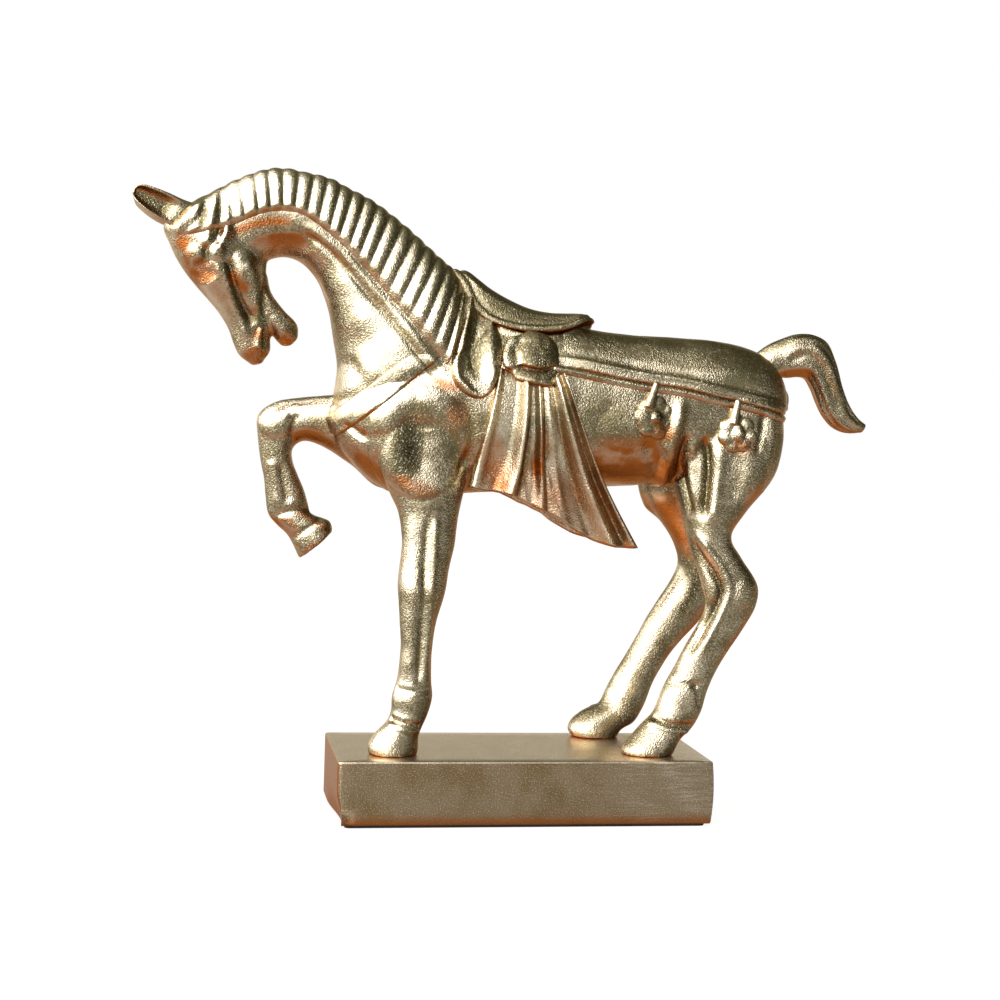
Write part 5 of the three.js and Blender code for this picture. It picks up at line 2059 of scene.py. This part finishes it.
@dataclass(frozen=True)
class PaintedLight:
    """Where shade and dark reflections, and an orange reflection from below, are painted into a casting's
    colour.
    """

    # How much shade is painted on faces turned down and to the tail, and how much orange reflection on the
    # low back edge.
    below: float = 0.75
    behind: float = 0.7
    tail_reflection: float = 0.55
    # Hollows and creases where the painted shade goes nearly black.
    deep_shade_spots: ClassVar[tuple[Mark, ...]] = (
        Dome(1.0, centre=(-48.0, 114.2), radii=(6.0, 12.5), tilt=-8, power=0.35),
        Dome(0.6, centre=(-24.2, 150.5), radii=(3.2, 12.0), tilt=4, power=0.7),
        Crease(0.8, line=((-114.8, 181.5), (-110.4, 168), (-106.6, 161.5), (-103.8, 157.6)), width=1.5),
        Crease(0.7, line=((-123.2, 200), (-124.8, 192)), width=1.2),
        Crease(0.6, line=((-100.2, 156.5), (-99.8, 151), (-100.2, 146)), width=0.9),
        Dome(0.7, centre=(-0.5, 149.5), radii=(6.5, 6.5), power=0.6),
        Dome(0.3, centre=(-138.5, 199.6), radii=(10.5, 4.2), tilt=-22, power=0.7),
        Dome(0.8, centre=(47.5, 127.0), radii=(3.8, 4.6), power=0.7),
        Crease(0.8, line=((57.5, 122), (56.8, 112), (58.5, 102), (61, 92)), width=1.8),
        Crease(0.6, line=((65, 121), (66.5, 110), (66, 99), (65, 91)), width=1.7),
        Crease(0.7, line=((60.5, 84.5), (66, 75.5), (71, 68.5), (73, 63), (71.2, 56.5), (67, 48)), width=1.3),
        Crease(0.5, line=((-3, 128), (-3, 112), (-3.5, 99)), width=1.3),
        Crease(0.5, line=((2.5, 128), (4.5, 110)), width=1.2),
        Crease(0.5, line=((7, 132), (14, 108), (21, 90)), width=1.1),
    )
    # Patches of painted shade and dark reflection.
    shade_spots: ClassVar[tuple[Mark, ...]] = (
        Dome(1.0, centre=(-48.3, 114.0), radii=(7.0, 13.0), tilt=-8, power=0.5),
        Dome(0.7, centre=(-101.5, 171.0), radii=(4.0, 15.0), tilt=4, power=0.7),
        Dome(0.6, centre=(30.0, 128.0), radii=(24.0, 12.0), power=0.6),
        Dome(0.85, centre=(-8.0, 166.0), radii=(26.0, 10.0), tilt=-12, power=0.6),
        Dome(0.5, centre=(-35.0, 118.0), radii=(9.0, 14.0), power=0.6),
    )
    # Spots of painted orange reflection.
    reflection_spots: ClassVar[tuple[Mark, ...]] = (
        Dome(0.85, centre=(-122.6, 175.6), radii=(5.6, 4.6), tilt=0, power=0.6),
        Dome(0.9, centre=(-131.0, 186.5), radii=(3.6, 3.8), tilt=30, power=0.6),
        Crease(0.8, line=((-130.5, 184), (-126, 172), (-119, 161)), width=2.2),
        Crease(1.0, line=((-113.9, 176.5), (-110.5, 173), (-106.5, 169.2)), width=2.1),
        Crease(0.9, line=((-116.5, 188.6), (-109, 192.5), (-100, 195.2), (-90, 195.5)), width=1.7),
        Dome(1.0, centre=(-104.5, 146.2), radii=(5.0, 4.2), power=0.5),
        Dome(0.7, centre=(-103.0, 154.5), radii=(2.6, 3.4), power=0.8),
        Dome(0.9, centre=(-34.0, 137.5), radii=(6.0, 2.6), tilt=-20, power=0.7),
        Dome(0.7, centre=(-30.0, 128.0), radii=(5.0, 7.0), power=0.7),
        Dome(0.8, centre=(-15.0, 109.0), radii=(6.0, 13.0), tilt=8, power=0.7),
        Dome(0.8, centre=(1.5, 113.0), radii=(3.0, 12.0), tilt=-3, power=0.7),
        Dome(0.7, centre=(-94, 153), radii=(7, 4), power=0.8),
        Dome(0.5, centre=(8, 95), radii=(30, 15), tilt=-20, power=0.7),
        Dome(0.7, centre=(-48.0, 100.5), radii=(15.0, 4.0), tilt=-12, power=0.8),
        Dome(0.8, centre=(-90.5, 80.5), radii=(6.5, 6.5), power=0.7),
        Dome(0.7, centre=(-79.5, 72.0), radii=(8.5, 3.6), tilt=40, power=0.8),
        Dome(0.6, centre=(48.5, 122.5), radii=(6.0, 4.0), power=0.8),
        Dome(0.6, centre=(80.0, 118.5), radii=(6.0, 4.0), power=0.8),
    )

    def painted_shade(self, surface: Surface, normals: Array) -> Array:
        """Painted shade and dark reflection: in hollows, on the back and where the metal faces down or to the
        tail.

        Args:
            surface: the surface in the horse's frame.
            normals: the unit normals of its points.

        Returns:
            Numbers from 0 to 1, and up to 2 where it is nearly black.
        """
        # Shade and dark reflection painted by which way the metal faces, in hollows and at the listed
        # patches; the listed creases go nearly black.
        down = -normals[:, 2]
        lower = self.below * smooth(down, -0.15, 0.12) * smooth(down, 0.5, 0.25)
        tailwards = self.behind * smooth(normals[:, 0], 0.15, 0.6)
        back = 0.85 * smooth(normals[:, 2], 0.15, 0.65) * smooth(surface.points[:, 0], -45, -25)
        clear = (1 - hollow_share(surface, normals)) * (1 - lower) * (1 - tailwards) * (1 - back)
        view = surface.points[:, [0, 2]]
        for spot in self.shade_spots:
            clear = clear * (1 - spot.height * spot.shape(view))
        deep = sum(spot.height * spot.shape(view) for spot in self.deep_shade_spots)
        return 1 - clear * (1 - np.clip(deep, 0, 1)) + np.clip(deep, 0, 1)

    def painted_reflection(self, surface: Surface, normals: Array) -> Array:
        """Share of painted orange reflection: most on faces turned down under overhangs.

        Args:
            surface: the surface in the horse's frame.
            normals: the unit normals of its points.

        Returns:
            Shares from 0 to 1.
        """
        points = surface.points
        on_head = smooth(points[:, 0], -92, -100) * smooth(points[:, 2], 138, 144)
        ahead = 1 - 0.65 * smooth(-normals[:, 0], 0.25, 0.65) * on_head
        throat = 1 - 0.15 * smooth(points[:, 0], -55, -68) * smooth(points[:, 2], 150, 160)
        # The orange reflection of a surface below, painted on faces turned down, less on the face and throat.
        under = smooth(-normals[:, 2], 0.12, 0.6) * ahead * throat
        back_edge = self.tail_reflection * smooth(normals[:, 0], 0.55, 0.95) * smooth(points[:, 2], 120, 100)
        spots = sum(spot.height * spot.shape(points[:, [0, 2]]) for spot in self.reflection_spots)
        spots = spots * (np.abs(points[:, 1]) > 2)
        return np.clip(np.maximum(np.maximum(under, back_edge), spots), 0, 1)


class BlockPaintedLight(PaintedLight):
    """The block's painted light: shade painted on its sides so its top stays bright, and an orange reflection
    painted along its foot and at its left end.
    """

    def painted_shade(self, surface: Surface, normals: Array) -> Array:
        """Share of painted shade, from 0 on top."""
        return 0.85 * smooth(normals[:, 2], 0.6, 0.3)

    def painted_reflection(self, surface: Surface, normals: Array) -> Array:
        """Share of painted orange reflection."""
        foot = smooth(surface.points[:, 2], -18.5, -23.0) * (normals[:, 2] < 0.5)
        left = smooth(-normals[:, 0], 0.5, 0.9)
        return np.clip(np.maximum(0.9 * foot, left), 0, 1)


@dataclass
class Workshop:
    """Turns surfaces into scene pieces with their finish, slot and node."""

    finishes: dict[str, bpy.types.Material]

    def place(
        self, name: str, surface: Surface, slot: str, painted_light: Optional[PaintedLight] = PaintedLight()
    ) -> bpy.types.Object:
        """Adds a piece that replaces the node of the same name.

        Args:
            name: the node's name.
            surface: the piece's surface in the horse's frame.
            slot: the material slot of the record, which also names the finish.
            painted_light: says where shade and an orange reflection are painted into the finish, or None for
                a finish without them.

        Returns:
            The piece.
        """
        mesh = bpy.data.meshes.new(f"{name}_piece")
        mesh.from_pydata(to_metres(surface.points).tolist(), [], surface.polygons())
        mesh.polygons.foreach_set("use_smooth", [True] * len(mesh.polygons))
        normals = surface.normals()
        if surface.shading is not None:
            kept = np.linalg.norm(surface.shading, axis=1) > 0
            normals = np.where(kept[:, None], surface.shading, normals)
        # The points carry the painted orange reflection and the painted shade for the finish.
        if painted_light is not None:
            self._attribute(mesh, PAINTED_REFLECTION, painted_light.painted_reflection(surface, normals))
            self._attribute(mesh, PAINTED_SHADE, painted_light.painted_shade(surface, normals))
        if surface.shading is not None:
            self._keep_shading(mesh, surface)
        mesh.materials.append(self.finishes[slot])
        piece = bpy.data.objects.new(f"{name}_piece", mesh)
        bpy.context.scene.collection.objects.link(piece)
        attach(piece, "root")
        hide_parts(name)
        log.info("%s: %d faces", name, len(mesh.polygons))
        return piece

    @staticmethod
    def _attribute(mesh: bpy.types.Mesh, name: str, values: Array) -> None:
        """Stores a number on every point of a mesh."""
        made = mesh.attributes.new(name, "FLOAT", "POINT")
        made.data.foreach_set("value", np.asarray(values, np.float32))

    @staticmethod
    def _keep_shading(mesh: bpy.types.Mesh, surface: Surface) -> None:
        """Gives the mesh the shading that its surface brought, and flat caps."""
        corners = np.empty(len(mesh.loops), np.int32)
        mesh.loops.foreach_get("vertex_index", corners)
        starts = np.empty(len(mesh.polygons), np.int32)
        totals = np.empty(len(mesh.polygons), np.int32)
        flats = np.empty(len(mesh.polygons) * 3, np.float32)
        mesh.polygons.foreach_get("loop_start", starts)
        mesh.polygons.foreach_get("loop_total", totals)
        mesh.polygons.foreach_get("normal", flats)
        hubs = np.linalg.norm(surface.shading, axis=1) == 0
        by_corner = surface.shading[corners].copy()
        owner = np.repeat(np.arange(len(mesh.polygons)), totals)
        has_hub = np.bincount(owner, weights=hubs[corners].astype(float), minlength=len(mesh.polygons)) > 0
        flat = has_hub[owner]
        by_corner[flat] = flats.reshape(-1, 3)[owner[flat]]
        mesh.normals_split_custom_set(by_corner.tolist())


# the studio


@dataclass
class Studio:
    """Camera, lamps, surroundings and floor."""

    camera_at: tuple[float, float, float] = (-0.133, -0.693, 0.158)
    yaw: float = 10.11
    pitch: float = -3.14
    roll: float = 1.95
    lens: float = 66.6
    key_at: tuple[float, float, float] = (-1.35, -0.75, 0.95)
    key_size: float = 0.8
    key_power: float = 10.0
    looked_at: tuple[float, float, float] = (0.0, 0.0, 0.12)
    floor_reach: float = 1.6

    def camera(self) -> None:
        """Makes the camera at the photograph's viewing angle."""
        data = bpy.data.cameras.new("camera")
        data.lens = self.lens
        data.sensor_width = 36.0
        data.clip_start = 0.01
        data.clip_end = 20.0
        item = bpy.data.objects.new("camera", data)
        bpy.context.scene.collection.objects.link(item)
        yaw, pitch, roll = (math.radians(angle) for angle in (self.yaw, self.pitch, self.roll))
        ahead = Vector((math.sin(yaw) * math.cos(pitch), math.cos(yaw) * math.cos(pitch), math.sin(pitch)))
        right = Vector((math.cos(yaw), -math.sin(yaw), 0.0))
        up = right.cross(ahead)
        turned_right = right * math.cos(roll) + up * math.sin(roll)
        turned_up = up * math.cos(roll) - right * math.sin(roll)
        axes = Matrix((turned_right, turned_up, -ahead)).transposed().to_4x4()
        item.matrix_world = Matrix.Translation(self.camera_at) @ axes
        bpy.context.scene.camera = item

    def light(self) -> None:
        """Hangs the softbox and colours the room that the metal mirrors."""
        self._softbox()
        world = bpy.data.worlds.new("studio")
        bpy.context.scene.world = world
        world.use_nodes = True
        graph = Graph(world.node_tree)
        toward = graph.node("ShaderNodeTexCoord").outputs["Generated"]
        parts = graph.node("ShaderNodeSeparateXYZ", None, [toward])
        x, y, z = (Value(graph, parts.outputs[k]) for k in range(3))
        window = z * 0.48 - x * 0.8 - y * 0.37
        wall = y.graded(0.45, 0.85) * z.graded(0.42, 0.12)
        dim = window.graded(-0.6, 0.3, 0.085, 0.23)
        room = dim + window.graded(0.43, 0.64) * 3.6 + wall * 0.9
        mirrored = Value(graph, graph.node("ShaderNodeLightPath").outputs["Is Glossy Ray"])
        strength = (room - 1) * mirrored + 1
        dark = graph.mixed(z.graded(-0.1, 0.45), (1.0, 0.80, 0.54), (0.93, 0.95, 0.62))
        plain = (window.graded(0.15, 0.5) + wall + (1 - mirrored)).clipped()
        tint = graph.mixed(plain, dark, (1.0, 1.0, 1.0))
        shade = graph.node("ShaderNodeBackground", None, [tint, strength])
        graph.node("ShaderNodeOutputWorld", None, [shade.outputs[0]])

    def _softbox(self) -> None:
        """Hangs a square softbox that looks at the horse."""
        data = bpy.data.lights.new("key", "AREA")
        data.shape = "SQUARE"
        data.size = self.key_size
        data.energy = self.key_power
        item = bpy.data.objects.new("key", data)
        item.location = self.key_at
        item.rotation_mode = "QUATERNION"
        item.rotation_quaternion = (Vector(self.key_at) - Vector(self.looked_at)).to_track_quat("Z", "Y")
        bpy.context.scene.collection.objects.link(item)

    def floor(self) -> None:
        """Lays the pale floor, which keeps the object's shadow."""
        mesh = bpy.data.meshes.new("floor")
        around = ((-1, -1), (1, -1), (1, 1), (-1, 1))
        corners = [(x * self.floor_reach, y * self.floor_reach, 0.0) for x, y in around]
        mesh.from_pydata(corners, [], [(0, 1, 2, 3)])
        item = bpy.data.objects.new("floor", mesh)
        bpy.context.scene.collection.objects.link(item)
        made = bpy.data.materials.new("pale_floor")
        made.use_nodes = True
        graph = Graph(made.node_tree)
        path = graph.node("ShaderNodeLightPath")
        direct, clear = (Value(graph, path.outputs[f"Is {ray} Ray"]) for ray in ("Camera", "Transmission"))
        seen = (direct + clear).clipped()
        paper = graph.node("ShaderNodeBsdfDiffuse", None, {"Color": (0.62, 0.61, 0.59, 1.0)})
        glow = graph.node("ShaderNodeEmission", None, {"Color": (1.0, 1.0, 1.0, 1.0), "Strength": 1.3})
        mixed = graph.node("ShaderNodeMixShader", None, [seen * 0.66, paper.outputs[0], glow.outputs[0]])
        graph.node("ShaderNodeOutputMaterial", None, [mixed.outputs[0]])
        mesh.materials.append(made)


def main() -> None:
    """Builds every sub-assembly, dresses it and reports its pieces."""
    logging.basicConfig(level=logging.INFO, format="%(name)s %(message)s")
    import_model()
    scene = bpy.context.scene
    scene.view_settings.view_transform = "Standard"
    studio = Studio()
    studio.camera()
    studio.light()
    studio.floor()
    kinds = (
        CastMetal("cast_metal"),
        CastMetal("trim_metal", roughness=0.22),
        FiledMetal("block_metal"),
        TurnedSteel("screw_steel"),
        Felt("felt"),
    )
    finishes = {finish.name: finish.material() for finish in kinds}
    shop = Workshop(finishes)
    block = Block()
    shop.place("base_block", block.surface(), "block_metal", BlockPaintedLight())
    shop.place("felt_pad", block.felt_pad(), "felt", None)
    for hoof in ("near_foreleg", "near_hind_leg", "far_hind_leg"):
        screw = bpy.data.objects[f"{hoof}_screw"]
        for slot in screw.material_slots:
            slot.material = finishes["screw_steel"]
    casting = Casting()
    casting.build()
    for name, surface in casting.castings().items():
        shop.place(name, surface, "cast_metal")
    shop.place("mane", Mane(casting).surface(), "cast_metal")
    shop.place("tail", Tail().surface(), "cast_metal")
    shop.place("saddle", Saddle(casting).surface(), "trim_metal")
    harness = Harness(casting)
    shop.place("rump_cloth", harness.rump_cloth(), "trim_metal")
    shop.place("breast_strap", harness.breast_strap(), "trim_metal")
    for prefix, side in (("near", Side.NEAR), ("far", Side.FAR)):
        sign = side.value
        shop.place(f"{prefix}_ear", Ear(sign).surface(), "cast_metal")
        shop.place(f"{prefix}_saddle_flap", harness.flap(side), "trim_metal")
        shop.place(f"{prefix}_hem_cord", harness.hem_cord(side), "trim_metal")
        # The drape gets less painted shade on faces turned down and to the tail, and less painted orange
        # reflection on its low back edge.
        shop.place(f"{prefix}_drape", Drape(casting, sign).surface(), "trim_metal", PaintedLight(0.15, 0.2, 0.2))
        shop.place(f"{prefix}_cloth_knot", Knot(casting, sign).surface(), "trim_metal")
        front = Pendant(casting, sign, 45.2, 128.2, 8.5, 141.5, (2.6, 2.6), lopsided=0.24)
        rear = Pendant(casting, sign, 77.2, 123.2, 7.8, 136.2, (2.7, 3.9), lean=0.3)
        shop.place(f"{prefix}_front_pendant", front.surface(), "trim_metal")
        shop.place(f"{prefix}_rear_pendant", rear.surface(), "trim_metal")


if __name__ == "__main__":
    main()
